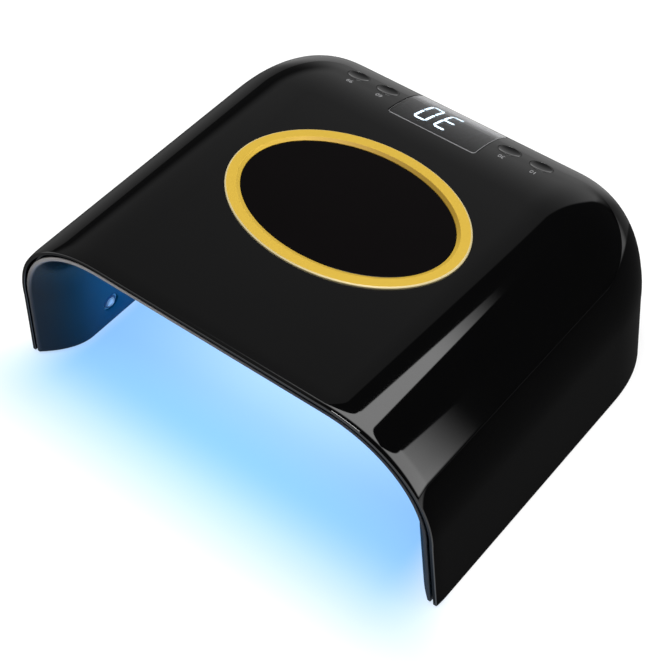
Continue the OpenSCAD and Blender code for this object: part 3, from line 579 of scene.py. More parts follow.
def whole_arch(side, top, foot):
    right = half_arch(side, top, foot)
    return right + [(-x, z, -nx, nz) for x, z, nx, nz in reversed(right[:-1])]


CROWN_STATION = len(WALL_HEIGHTS) + len(SHOULDER_TURNS)
ROOF_PLACES = sorted({side * FLAT_HALF * share for share in ROOF_SHARES for side in (1, -1)})


# The outer cover, and how finely it is divided
SIDE_SHARES = [k / 10 for k in range(11)]
CORNER_TURNS = [math.pi / 2 * k / 30 for k in range(31)]
SKIN_MARGIN = 2
SKIN_PITCH = 2.2
SKIN_BELOW = 8
SKIN_COLUMNS = 30
SEAT_CORNER = 1.9
SEAT_PITCH = 3
JACK_SINK = 1
EDGE_STEPS = (10, 6, 3)


def side_row(side, station, start, facing):
    """Corners along one height of a side wall, from behind the front edge to the rear corner."""
    x, z, normal_x, normal_z = station
    first = front_at(z) + start
    normal = (side * normal_x * facing, 0.0, normal_z * facing)
    return [((side * x, first + (BACK_CURVE_Y - first) * share, z), normal) for share in SIDE_SHARES]


def corner_row(side, station, inset, facing):
    """Corners round one height of a rear corner, from the side wall to the back."""
    x, z, *rest = station
    width = x - FLAT_HALF
    depth = BACK.at_height(z, inset, inset)[0] - BACK_CURVE_Y
    row = []
    for turn in CORNER_TURNS:
        u, v = max(math.cos(turn), 0) ** (2 / CORNER_POWER), math.sin(turn) ** (2 / CORNER_POWER)
        place = (side * (FLAT_HALF + width * u), BACK_CURVE_Y + depth * v, z)
        if width < 1e-6:
            normal = (0, 0, 1)
        else:
            ratio = width / max(depth, 1e-6)
            lean_side, lean_back = SIDE.slope(z, inset, inset), BACK.slope(z, inset, inset)
            rise = u**CORNER_POWER * lean_side + v**CORNER_POWER * lean_back * ratio
            normal = unit((side * u ** (CORNER_POWER - 1), v ** (CORNER_POWER - 1) * ratio, rise))
        row.append((place, scaled(normal, facing)))
    return row


def skin(shell, inset, start, facing, holes):
    """One face of the cover: its sides and rear corners, and between them the roof and the back."""
    stations = half_arch(inset, inset, FOOT_STAND)[: CROWN_STATION + 1]
    for side in (1, -1):
        shell.grid([side_row(side, station, start, facing) for station in stations])
        shell.grid([corner_row(side, station, inset, facing) for station in stations])

    def flank(side):
        x = side * FLAT_HALF
        roof = [((x, corner[0][1]), corner) for corner in side_row(side, stations[-1], start, facing)]
        back = []
        for station in stations[-2::-1]:
            run = BACK_CURVE_Y + BACK.run_at_height(station[1], inset)
            back.append(((x, run), corner_row(side, station, inset, facing)[-1]))
        return roof + back

    crown = BODY_HEIGHT - inset
    first = front_at(crown) + start
    front = [((x, first), ((x, first, crown), (0, 0, facing))) for x in ROOF_PLACES]
    foot = BACK.at_height(FOOT_STAND, inset, inset)
    foot_run = BACK_CURVE_Y + BACK.run_at_height(FOOT_STAND, inset)
    foot_normal = (0, foot[2] * facing, foot[3] * facing)
    last = [((x, foot_run), ((x, foot[0], FOOT_STAND), foot_normal)) for x in ROOF_PLACES]
    outline = front + flank(1) + last[::-1] + flank(-1)[::-1]
    columns = np.linspace(-FLAT_HALF, FLAT_HALF, SKIN_COLUMNS)[1:-1].tolist()
    runs = np.arange(SKIN_MARGIN, BACK.length + SKIN_BELOW, SKIN_PITCH).tolist()
    inner = [((x, BACK_CURVE_Y + run), on_skin((x, run), -inset, facing)) for run in runs for x in columns]
    shell.fill(outline, holes, inner)


def hole_path(radius, *points):
    """The profile of an opening: over a rounded rim, then through the given offsets and heights."""
    path = [(2 * radius, 0), (0, 0), *points]
    return section(path, [0, radius] + [0] * len(points), turn=-1)[1:]


def outer_cover(finish):
    """The cover, with openings for the keys, the window, the ring and the inlet."""
    shell = Shell()
    outer, inner = [], []

    def cut(loop, centre, path):
        """Makes an opening's wall and keeps its rims, with runs counted from the front edge."""
        rings = swept(shell, moved(loop, centre), path, back_skin)
        for rims, ring in ((outer, rings[0]), (inner, rings[-1])):
            rims.append([((x, run + BACK_CURVE_Y), corner) for (x, run), corner in ring])

    opening = oval(KEY_HALF[0] + KEY_PLAY, KEY_HALF[1] + KEY_PLAY, KEY_SIDES)
    collar_end = (COLLAR_WALL, -COLLAR_DEPTH)
    collar = hole_path(KEY_RIM, (0, -COLLAR_DEPTH), collar_end, (COLLAR_WALL, -COVER_WALL))
    key_run = BACK.run_at_out(KEY_ROW)
    for place in KEY_PLACES.values():
        cut(opening, (place, key_run), collar)
    front_run, rear_run = [BACK.run_at_out(depth) for depth in WINDOW_SPAN]
    half_run = (rear_run - front_run) / 2
    seat = rounded_box(WINDOW_HALF_WIDTH + WINDOW_PLAY, half_run + WINDOW_PLAY, SEAT_CORNER)
    ledge = WINDOW_THICKNESS + SEAT_GAP
    window_path = hole_path(WINDOW_RIM, (0, -ledge), (-WINDOW_LEDGE, -ledge), (-WINDOW_LEDGE, -COVER_WALL))
    cut(spread(seat, SEAT_PITCH), (0, (front_run + rear_run) / 2), window_path)
    pocket = moved(oval(RING_HALF[0] + SEAT_GAP, RING_HALF[1] + SEAT_GAP, OVAL_SIDES), (0, RING_CENTRE))
    rings = swept(shell, pocket, hole_path(POCKET_RIM, (0, -POCKET_DEPTH)), level(BODY_HEIGHT))
    outer.append(rings[0])
    shell.fill(faced(rings[-1], UP))
    narrowing = JACK_BARREL - JACK_FLANGE
    jack_path = hole_path(JACK_RIM, (0, -JACK_SINK), (narrowing, -JACK_SINK), (narrowing, -COVER_WALL))
    cut(oval(JACK_FLANGE, JACK_FLANGE, JACK_SIDES), (0, BACK.run_at_height(JACK_Z)), jack_path)

    skin(shell, 0.0, EDGE_ROLL, 1, outer)
    skin(shell, COVER_WALL, ARRIS, -1, inner)
    front_edge(shell)
    lower_edge(shell)
    return shell.build("cover_shell", "cover_black", finish, replaces=["outer_cover"])


def spread(loop, pitch):
    """A loop with points added along its long straight stretches."""
    full = []
    for (point, normal), (following, next_normal) in zip(loop, loop[1:] + loop[:1]):
        full.append((point, normal))
        count = int(math.dist(point, following) // pitch)
        for k in range(1, count):
            share = k / count
            full.append((add(point, add(following, point, -1), share), next_normal))
    return full


def edge_profile():
    """The cover's front edge as depth, inset and tilt, from its outside round to its inside."""
    roll_steps, turn_steps, arris_steps = EDGE_STEPS
    turned = EDGE_RADIUS * (1 - math.sin(EDGE_ROLL_ANGLE))
    profile = []
    for k in range(roll_steps + 1):
        share = k / roll_steps
        tilt = EDGE_ROLL_ANGLE * share**2
        sunk = (EDGE_ROLL - turned) * EDGE_ROLL_ANGLE * share**3 / 3
        profile.append((EDGE_ROLL - (EDGE_ROLL - turned) * share, sunk, tilt))
    rolled = profile[-1][1]
    for k in range(1, turn_steps + 1):
        tilt = EDGE_ROLL_ANGLE + (math.pi / 2 - EDGE_ROLL_ANGLE) * k / turn_steps
        inset = rolled + EDGE_RADIUS * (math.cos(EDGE_ROLL_ANGLE) - math.cos(tilt))
        profile.append((EDGE_RADIUS * (1 - math.sin(tilt)), inset, tilt))
    for k in range(arris_steps + 1):
        tilt = math.pi / 2 * k / arris_steps
        inset = COVER_WALL - ARRIS + ARRIS * math.sin(tilt)
        profile.append((ARRIS * (1 - math.cos(tilt)), inset, math.pi / 2 + tilt))
    return profile


def arch_row(depth, inset, normal_out, normal_front, foot=FOOT_STAND):
    """Corners round the whole arch at a depth, with their normals outward and towards the front."""
    forward = unit((0, -1, -LEAN))
    row = []
    for x, z, normal_x, normal_z in whole_arch(inset, inset, foot):
        out = (normal_x * normal_out, 0.0, normal_z * normal_out)
        row.append(((x, depth + front_at(z), z), add(out, forward, normal_front)))
    return row


def front_edge(shell):
    rows = [arch_row(depth, inset, math.cos(tilt), math.sin(tilt)) for depth, inset, tilt in edge_profile()]
    shell.grid(rows)
    for end in (0, -1):
        shell.face([(row[end][0], DOWN) for row in rows])


def lower_edge(shell):
    """The flat ring that the cover's wall ends in underneath."""
    paths = []
    for inset, start in ((0.0, EDGE_ROLL), (COVER_WALL, ARRIS)):
        station = half_arch(inset, inset, FOOT_STAND)[0]
        back = BACK.at_height(FOOT_STAND, inset, inset)[0]
        right, left = [
            side_row(side, station, start, 1) + corner_row(side, station, inset, 1)[1:] for side in (1, -1)
        ]
        behind = [(x, back, FOOT_STAND) for x in ROOF_PLACES[::-1]]
        path = [corner[0] for corner in right] + behind + [corner[0] for corner in left[::-1]]
        paths.append([(place, DOWN) for place in path])
    shell.grid(paths)


# The inner liner
def nose(depth, reach, rolled):
    """How far the lip has rolled in at a depth."""
    return reach if depth >= rolled else reach * (1 - (1 - max(depth, 0) / rolled) ** 2)


def cavity_step(travel, wall=0.0):
    """Depth and insets of the hand cavity at a travel from its lip, which follows the rounded end."""
    if travel <= CAVITY_STRAIGHT:
        side = LIP_BACK + nose(travel, LEG_THICKNESS - LIP_BACK, LEG_NOSE)
        top = LIP_BACK + nose(travel, ROOF_THICKNESS - LIP_BACK, ROOF_NOSE)
        return travel + wall * max(0, 1 - travel / LEG_NOSE), side - wall, top - wall
    turn = min((travel - CAVITY_STRAIGHT) / CAVITY_ROUND, math.pi / 2)
    close = 1 - math.cos(turn)
    depth = CAVITY_STRAIGHT + (CAVITY_ROUND + wall) * math.sin(turn)
    return depth, LEG_THICKNESS - wall + SIDE_CLOSE * close, ROOF_THICKNESS - wall + ROOF_DROP * close


END_TRAVEL = CAVITY_STRAIGHT + CAVITY_ROUND * math.pi / 2


def liner_place(along, travel, wall=0.0):
    """A point of the liner: along counts from the roof's middle to either foot."""
    depth, side, top = cavity_step(travel, wall)
    run = abs(along) - FLAT_HALF
    out, up, *rest = LINER.at_run(run, side - LEG_THICKNESS, top - ROOF_THICKNESS)
    return math.copysign(out, along), depth + front_at(up), up


def lamp_spots():
    """The lamps in the liner's straight part: their group, places along and in travel, and dish."""
    round_dish = (DISH_RADIUS, DISH_RADIUS)
    spots = [("roof", x, y - front_at(LINER.crown), round_dish) for x, y in ROOF_LAMPS]
    leg = FLAT_HALF + LINER.run_at_height(LEG_LAMP_Z)
    turn = math.pi / 2 - SHOULDER_ANGLE
    shoulder = FLAT_HALF + LINER.run_at_turn(turn)
    height = LINER.curve(turn)[1]
    for side, word in ((1, "right"), (-1, "left")):
        spots += [(word, side * leg, y - front_at(LEG_LAMP_Z), round_dish) for y in LEG_LAMPS]
        group = word + "_shoulder"
        spots += [(group, side * shoulder, y - front_at(height), SHOULDER_DISH) for y in SHOULDER_LAMPS]
    return spots


SPOTS = lamp_spots()


def dish_depth(along, travel):
    """How deep the dishes round the lamps are at a place of the liner."""
    deepest = 0.0
    for name, spot_along, spot_travel, (half_along, half_travel) in SPOTS:
        if half_along > DISH_RADIUS:
            spot_along -= math.copysign(SHOULDER_DISH_SHIFT[0], spot_along)
            spot_travel += SHOULDER_DISH_SHIFT[1]
        share = ((along - spot_along) / half_along) ** 2 + ((travel - spot_travel) / half_travel) ** 2
        if share < 1:
            deepest = max(deepest, DISH_DEPTH * (1 - share) ** 1.5)
    return deepest


NORMAL_STEP = 0.05
DISH_LOOKAHEAD = 0.3
SLOPE_STEP = 0.1
CAVITY_MIDDLE_Z = 30


def liner_corner(along, travel):
    """A corner of the liner's shown face, sunk by the dishes, with its normal into the cavity."""
    here = liner_place(along, travel)
    back = travel if travel + NORMAL_STEP > END_TRAVEL else travel + NORMAL_STEP
    beside = [liner_place(along + side * NORMAL_STEP, travel) for side in (1, -1)]
    sideways = unit(add(beside[0], beside[1], -1))
    inward = unit(add(liner_place(along, back), liner_place(along, back - NORMAL_STEP), -1))
    normal = unit(cross(sideways, inward))
    middle = (0, here[1] - 1, CAVITY_MIDDLE_Z)
    if sum(n * (m - h) for n, m, h in zip(normal, middle, here)) < 0:
        normal = scaled(normal, -1)
    depth = dish_depth(along, travel)
    if not depth and not dish_depth(along, travel + DISH_LOOKAHEAD):
        return here, normal
    ahead, aside = [
        dish_depth(along + a, travel + t) - dish_depth(along - a, travel - t)
        for a, t in ((0, SLOPE_STEP), (SLOPE_STEP, 0))
    ]
    tilted = add(normal, sideways, aside / (2 * SLOPE_STEP))
    return add(here, normal, -depth), unit(add(tilted, inward, ahead / (2 * SLOPE_STEP)))


def liner_stations(foot):
    """Places along the arch from the right foot to the left foot."""
    wall = [FLAT_HALF + LINER.run_at_height(height) for height in (foot, *WALL_HEIGHTS)]
    shoulder = [FLAT_HALF + LINER.run_at_turn(turn) for turn in SHOULDER_TURNS]
    right = wall + shoulder + [FLAT_HALF * share for share in ROOF_SHARES]
    return right + [-along for along in reversed(right[:-1])]


NOSE_TRAVELS = [LEG_NOSE * (1 - math.cos(math.radians(a))) for a in (0, 8, *range(15, 91, 5))]
FOOT_TRAVELS = [LEG_NOSE + (CAVITY_STRAIGHT - LEG_NOSE) * k / 12 for k in range(13)]
END_TRAVELS = [CAVITY_STRAIGHT + CAVITY_ROUND * math.radians(a) for a in range(0, 91, 5)]
HIDDEN_NOSE = [GROOVE_DEPTH] + [t for t in NOSE_TRAVELS if t > GROOVE_DEPTH + 1]
LAMP_RINGS = (5.3, 5.0, 4.75, LAMP_OPENING)
SHEET_MARGINS = (3, 2.5)
SHEET_COUNTS = (110, 28)
SHEET_GAP = 1.6
RIM_STEPS = 6
NEAR = 1e-4


def hidden_corner(along, travel):
    """A corner of the liner's outer face, which the cover hides."""
    here = liner_place(along, travel, LINER_WALL)
    inner = liner_place(along, travel)
    return here, unit(add(here, inner, -1))


def straight_sheet(shell, corner_of, foot, travels, rings):
    """The liner's straight part round its lamps."""

    def made(flats):
        return [(flat, corner_of(*flat)) for flat in flats]

    stations = liner_stations(foot)
    front = [(a, travels[0]) for a in stations]
    left = [(stations[-1], t) for t in travels[1:-1]]
    back = [(a, travels[-1]) for a in stations[::-1]]
    right = [(stations[0], t) for t in travels[-2:0:-1]]
    alongs, inwards = [
        np.linspace(first + margin, last - margin, count).tolist()
        for first, last, margin, count in (
            (stations[-1], stations[0], SHEET_MARGINS[0], SHEET_COUNTS[0]),
            (travels[0], travels[-1], SHEET_MARGINS[1], SHEET_COUNTS[1]),
        )
    ]
    inner = [(a, t) for a in alongs for t in inwards]
    shell.fill(made(front + left + back + right), rings, made(inner), gap=SHEET_GAP)


def lamp_ring(middle, radius, corner_of):
    """A ring of corners round a lamp."""
    flats = [add(middle, (math.cos(turn), math.sin(turn)), radius) for turn in turns_round(LAMP_SIDES)]
    return [(flat, corner_of(*flat)) for flat in flats]


def facing_axis(ring):
    """The same ring with its normals turned to its middle, for the wall of an opening."""
    middle = tuple(np.mean([place for place, normal in corners(ring)], axis=0))
    return [(place, unit(add(middle, place, -1))) for place, normal in corners(ring)]


def end_wall(shell, facing, foot, wall):
    """The flat end of the hand cavity round the openings of the rear lamps, whose rims it gives."""
    normal = (0, -facing, -facing * LEAN)
    depth = CAVITY_STRAIGHT + CAVITY_ROUND + wall
    places = [liner_place(along, END_TRAVEL, wall) for along in liner_stations(foot)]

    def corner_of(x, z):
        return (x, depth + front_at(z), z), normal

    holes = [lamp_ring((x, REAR_LAMP_Z), LAMP_OPENING, corner_of) for x in REAR_LAMPS]
    shell.fill([((place[0], place[2]), (place, normal)) for place in places], holes)
    return holes


def inner_liner(finish):
    """The liner: its shown and its hidden face, the lamps' openings, its lip and its rim."""
    shell = Shell()
    stations, hidden_stations = liner_stations(LINER_BASE), liner_stations(RIM_TOP)
    for travels in (NOSE_TRAVELS, END_TRAVELS):
        shell.grid([[liner_corner(a, t) for a in stations] for t in travels])
    for travels in (HIDDEN_NOSE, END_TRAVELS):
        shell.grid([[hidden_corner(a, t) for a in hidden_stations] for t in travels])
    shown_rings, hidden_rings = [], []
    for name, along, travel, dish in SPOTS:
        middle = (along, travel)
        rings = [lamp_ring(middle, radius, liner_corner) for radius in LAMP_RINGS]
        hidden = lamp_ring(middle, LAMP_OPENING, hidden_corner)
        shell.grid([corners(ring) for ring in rings], closed=True)
        shell.grid([facing_axis(rings[-1]), facing_axis(hidden)], closed=True)
        shown_rings.append(rings[0])
        hidden_rings.append(hidden)
    straight_sheet(shell, liner_corner, LINER_BASE, FOOT_TRAVELS, shown_rings)
    straight_sheet(shell, hidden_corner, RIM_TOP, FOOT_TRAVELS, hidden_rings)
    ends = zip(end_wall(shell, 1, LINER_BASE, 0.0), end_wall(shell, -1, RIM_TOP, LINER_WALL))
    for shown, hidden in ends:
        shell.grid([facing_axis(shown), facing_axis(hidden)], closed=True)
    lip_rows(shell, stations, hidden_stations)
    rim_under(shell)
    return shell.build("liner_shell", "liner_blue_black", finish, replaces=["inner_liner"])


def lip_profile():
    """The liner's lip as depth and inset with normals outward and forward, from its face to the groove."""
    points = [(LIP_BACK, 0), (LIP_INSET, 0), (LIP_INSET, GROOVE_DEPTH), (TONGUE_INSET, GROOVE_DEPTH)]
    turned = section([(-inset, -depth) for inset, depth in points], [0, LIP_ROUND, 0, 0], turn=1)
    return [(-b, -a, normal_out, normal_front) for a, b, normal_out, normal_front in turned]


def lip_rows(shell, stations, hidden_stations):
    """The lip, the groove behind it and the tongue inside the cover."""
    rows = [arch_row(*step, LINER_BASE) for step in lip_profile()]
    rows[0] = [(liner_corner(a, 0)[0], normal) for a, (place, normal) in zip(stations, rows[0])]
    shell.grid(rows)
    tongue = arch_row(TONGUE_DEPTH, TONGUE_INSET, 1, 0, RIM_TOP)
    shell.grid([arch_row(GROOVE_DEPTH, TONGUE_INSET, 1, 0, LINER_BASE), tongue])
    behind = (0, 1, LEAN)
    start = [(hidden_corner(a, GROOVE_DEPTH)[0], behind) for a in hidden_stations]
    shell.grid([[(place, behind) for place, normal in tongue], start])


def rim_outline(height):
    """The rim's outer edge at a height, from behind the tongue on the right round to the left."""
    station = SIDE.at_height(height, TONGUE_INSET, TONGUE_INSET)
    first = TONGUE_DEPTH + front_at(height)
    run = BACK_CURVE_Y - TONGUE_DEPTH - front_at(height)
    straight = [(station[0], first + run * k / RIM_STEPS, height) for k in range(RIM_STEPS)]
    right = straight + [place for place, normal in corner_row(1, station, TONGUE_INSET, 1)]
    return right + mirrored(right)


def mirrored(places):
    """The same places on the other side of the lamp, in the opposite order."""
    return [(-x, y, z) for x, y, z in reversed(places)]


def rim_under(shell):
    """The rim that closes the legs underneath, with the recesses for the feet and the screws."""
    bottom, top = rim_outline(LINER_BASE), rim_outline(RIM_TOP)
    for one, two, next_one, next_two in zip(bottom, top, bottom[1:], top[1:]):
        across = (next_one[1] - one[1], one[0] - next_one[0], 0)
        if math.hypot(*across) > 1e-9:
            shell.face([(place, unit(across)) for place in (one, next_one, next_two, two)])
    x = SIDE.at_height(LINER_BASE, TONGUE_INSET, TONGUE_INSET)[0]
    groove_ends = []
    for side, edge in ((1, 0), (-1, -1)):
        start = (side * x, GROOVE_DEPTH + front_at(LINER_BASE), LINER_BASE)
        shell.face([(place, (side, 0, 0)) for place in (start, bottom[edge], top[edge])])
        groove_ends.append(start)
    foot = liner_stations(LINER_BASE)[0]
    travels = NOSE_TRAVELS[:-1] + FOOT_TRAVELS[:-1] + END_TRAVELS
    right, left = [[liner_corner(a, t)[0] for t in travels] for a in (foot, -foot)]
    lip = [arch_row(*step, LINER_BASE)[0][0] for step in lip_profile()[1:-1]]
    loop = right[::-1] + lip + groove_ends[:1] + bottom + groove_ends[1:] + mirrored(lip) + left
    recesses = []
    for x, y, turned in FEET:
        pill = stadium(FOOT_HALF_LENGTH + SEAT_GAP, FOOT_RADIUS + SEAT_GAP, turned)
        recesses.append((moved(pill, (x, y)), FOOT_SINK))
    for place in COVER_SCREWS:
        recesses.append((moved(oval(SCREW_RECESS, SCREW_RECESS, SCREW_SIDES), place), SCREW_SINK))
    holes = []
    for recess, sink in recesses:
        rings = swept(shell, recess, hole_path(RECESS_RIM, (0, -sink)), level(LINER_BASE, -1))
        holes.append(rings[0])
        shell.fill(faced(rings[-1], DOWN))
    shell.fill(clean_loop(loop, DOWN), holes)
    foot = liner_stations(RIM_TOP)[0]
    travels = HIDDEN_NOSE[:-1] + FOOT_TRAVELS[:-1] + END_TRAVELS
    right, left = [[hidden_corner(a, t)[0] for t in travels] for a in (foot, -foot)]
    shell.fill(clean_loop(right[::-1] + top + left, UP))


def clean_loop(places, normal):
    """A loop for filling, without places that repeat."""
    kept = []
    for place in places:
        if not kept or math.dist(place, kept[-1]) > NEAR:
            kept.append(place)
    return [(place[:2], (place, normal)) for place in kept]


def stadium(half_length, radius, turned, steps=10):
    """A bar's outline with round ends, along X or turned along Y."""
    loop = []
    for side in (1, -1):
        for k in range(steps + 1):
            turn = math.pi * (k / steps - 0.5) + (0 if side > 0 else math.pi)
            normal = (math.cos(turn), math.sin(turn))
            loop.append((add((side * (half_length - radius), 0), normal, radius), normal))
    return [((-b, a), (-d, c)) for (a, b), (c, d) in loop] if turned else loop


# The gilt ring, the inlay and the display window
RING_POINTS = [
    (0, -POCKET_DEPTH),
    (0, 0.55),
    (-0.55, RING_RISE),
    (1.7 - RING_BAND, RING_RISE),
    (-RING_BAND, 0.1),
    (-RING_BAND, -POCKET_DEPTH),
]
RING_ROUNDS = [0.05, 0.3, 0.3, 0.8, 0.15, 0.05]
WINDOW_CORNER = 1.6
WINDOW_PITCH = 2
WINDOW_MARGIN = 1.5
WINDOW_COUNTS = (19, 15)
WINDOW_GAP = 0.5
DISH_STEPS = 8
HIDDEN_START = 2


def gold_ring(finish):
    """The ring, whose band keeps its width measured along the axes of the oval."""
    shell = Shell()
    rows = []
    for offset, height, normal_out, normal_up in section(RING_POINTS, RING_ROUNDS, turn=-1, closed=True):
        row = []
        for point, outward in oval(*RING_HALF, RING_SIDES):
            turn = math.atan2(point[1] / RING_HALF[1], point[0] / RING_HALF[0])
            x = (RING_HALF[0] + offset) * math.cos(turn)
            y = RING_CENTRE + (RING_HALF[1] + offset) * math.sin(turn)
            row.append(((x, y, BODY_HEIGHT + height), (*scaled(outward, normal_out), normal_up)))
        rows.append(row)
    shell.grid(rows, closed=True)
    return shell.build("gilt_oval_ring", "gilt", finish, replaces=["gold_ring"])


def oval_inlay(finish):
    shell = Shell()
    half = [h - RING_BAND - SEAT_GAP for h in RING_HALF]
    path = section([(-HIDDEN_START, 0), (0, 0), (0, -POCKET_DEPTH)], [0, INLAY_ROUND, 0], turn=1)[1:]
    rings = swept(shell, moved(oval(*half, OVAL_SIDES), (0, RING_CENTRE)), path, level(BODY_HEIGHT))
    shell.fill(faced(rings[0], UP))
    shell.fill(faced(rings[-1], DOWN))
    return shell.build("roof_inlay", "inlay_black", finish, replaces=["oval_inlay"])


def display_window(finish, bevel_finish):
    """The smoked strip over the rear edge, with its rim as a piece of its own in a pale grey that is a
    painted highlight.
    """
    rim, shell = Shell(), Shell()
    first, last = [BACK.run_at_out(depth) for depth in WINDOW_SPAN]
    loop = spread(rounded_box(WINDOW_HALF_WIDTH, (last - first) / 2, WINDOW_CORNER), WINDOW_PITCH)
    loop = moved(loop, (0, (first + last) / 2))
    path = section([(-HIDDEN_START, 0), (0, 0), (0, -WINDOW_THICKNESS)], [0, WINDOW_BEVEL, 0], turn=1)
    top = swept(rim, loop, path[1:6], back_skin)[0]
    rim.build("window_bevel", "smoked_window", bevel_finish)
    bottom = swept(shell, loop, path[5:], back_skin)[-1]
    reach = WINDOW_HALF_WIDTH - WINDOW_MARGIN
    columns = np.linspace(-reach, reach, WINDOW_COUNTS[0]).tolist()
    runs = np.linspace(first + WINDOW_MARGIN, last - WINDOW_MARGIN, WINDOW_COUNTS[1]).tolist()
    for ring, height, facing in ((top, 0, 1), (bottom, -WINDOW_THICKNESS, -1)):
        inner = [((x, run), on_skin((x, run), height, facing)) for x in columns for run in runs]
        turned = [(flat, (corner[0], on_skin(flat, height, facing)[1])) for flat, corner in ring]
        shell.fill(turned, inner=inner, gap=WINDOW_GAP)
    return shell.build("window_strip", "smoked_window", finish, replaces=["display_window"])


# The keys
def timer_key(word, finish):
    """A dished key with its skirt, the flange that holds it in and the stem that meets the switch."""
    shell = Shell()
    centre = (KEY_PLACES[word], 0)
    dish = [half - DISH_MARGIN for half in KEY_HALF]
    rows = []
    for k in range(DISH_STEPS + 1):
        share = k / DISH_STEPS
        row = []
        for turn in turns_round(KEY_SIDES):
            flat = (dish[0] * share * math.cos(turn), dish[1] * share * math.sin(turn))
            sunk = -KEY_TOP - KEY_DISH * (1 - share**2)
            place, up, across, along = key_panel(add(flat, centre), sunk)
            tilt = [-KEY_DISH * 2 * part / half**2 for part, half in zip(flat, dish)]
            row.append((place, add(add(up, across, tilt[0]), along, tilt[1])))
        rows.append(row)
    shell.grid(rows, closed=True)
    flange_under = -FLANGE_TOP - FLANGE_THICKNESS
    points = [
        (-DISH_MARGIN, -KEY_TOP),
        (0, -KEY_TOP),
        (0, -FLANGE_TOP),
        (FLANGE_OVERHANG, -FLANGE_TOP),
        (FLANGE_OVERHANG, flange_under),
    ]
    path = section(points, [0, KEY_ROUND, 0, 0, 0], turn=1)
    rings = swept(shell, moved(oval(*KEY_HALF, KEY_SIDES), centre), path, key_panel)
    shell.grid([rows[-1], corners(rings[0])], closed=True)
    below = scaled(key_panel(centre, 0)[1], -1)
    stem_loop = moved(oval(STEM_RADIUS, STEM_RADIUS, STEM_SIDES), centre)
    stem = swept(shell, stem_loop, section([(0, flange_under), (0, -STEM_END)]), key_panel)
    shell.fill(faced(rings[-1], below), [faced(stem[0], below)])
    shell.fill(faced(stem[-1], below))
    return shell.build("timer_key_" + word, "key_black", finish, "key_" + word, ["button_" + word])


LABEL_LIFT = 0.015


def key_label(word, finish):
    """The key's number on the cover in front of it, which is read from behind the lamp."""
    text = bpy.data.curves.new("label", "FONT")
    text.body = word
    text.size = LABEL_HEIGHT
    text.align_x = text.align_y = "CENTER"
    holder = link(bpy.data.objects.new("label", text))
    bpy.context.view_layer.update()
    mesh = bpy.data.meshes.new_from_object(holder)
    bpy.data.objects.remove(holder)
    mesh.name = "key_number_" + word
    run = BACK.run_at_out(KEY_ROW) - LABEL_OFFSET
    for vertex in mesh.vertices:
        place = back_skin((KEY_PLACES[word] - vertex.co.x, run - vertex.co.y), LABEL_LIFT)[0]
        vertex.co = (place[0] * METRE, (place[1] + FRONT) * METRE, place[2] * METRE)
    return show(bpy.data.objects.new(mesh.name, mesh), finish)


# The lamps in the liner
ACROSS_STEP = 0.5
CUP_DEPTH = 0.5
CHIP_SINK = 0.2
CHIP_PLACES = [(a, b) for a in (-0.75, 0.75) for b in (-0.75, 0.75)]
CHIP_HALF = 0.55
DOME_STEPS = 8


def lamp_frames():
    """The middle of each lamp on the liner's hidden face, with the way out and a way across."""
    frames = {}
    for name, along, travel, dish in SPOTS:
        place = liner_place(along, travel, LINER_WALL)
        beside = [liner_place(along + step, travel, LINER_WALL) for step in (ACROSS_STEP, -ACROSS_STEP)]
        across = unit(add(*beside, -1))
        out = unit((across[2], 0, -across[0]))
        if out[0] * place[0] + out[2] * (place[2] - CAVITY_MIDDLE_Z) < 0:
            out = scaled(out, -1)
        frames.setdefault(name + "_leds", []).append((place, out, across))
    depth = CAVITY_STRAIGHT + CAVITY_ROUND + LINER_WALL + front_at(REAR_LAMP_Z)
    frames["rear_leds"] = [((x, depth, REAR_LAMP_Z), unit((0, 1, LEAN)), (1, 0, 0)) for x in REAR_LAMPS]
    return frames


def dome_corner(seat, turn, rise):
    """A corner of a lamp's dome: turn goes round it, and rise up to its top."""
    radius = LAMP_DOME[0] * math.cos(rise)
    flat = (radius * math.cos(turn), radius * math.sin(turn))
    place, up, across, along = seat(flat, LAMP_BASE_DEPTH + LAMP_DOME[1] * math.sin(rise))
    slope = math.cos(rise) / LAMP_DOME[0]
    normal = scaled(up, math.sin(rise) / LAMP_DOME[1])
    return place, add(add(normal, across, slope * math.cos(turn)), along, slope * math.sin(turn))


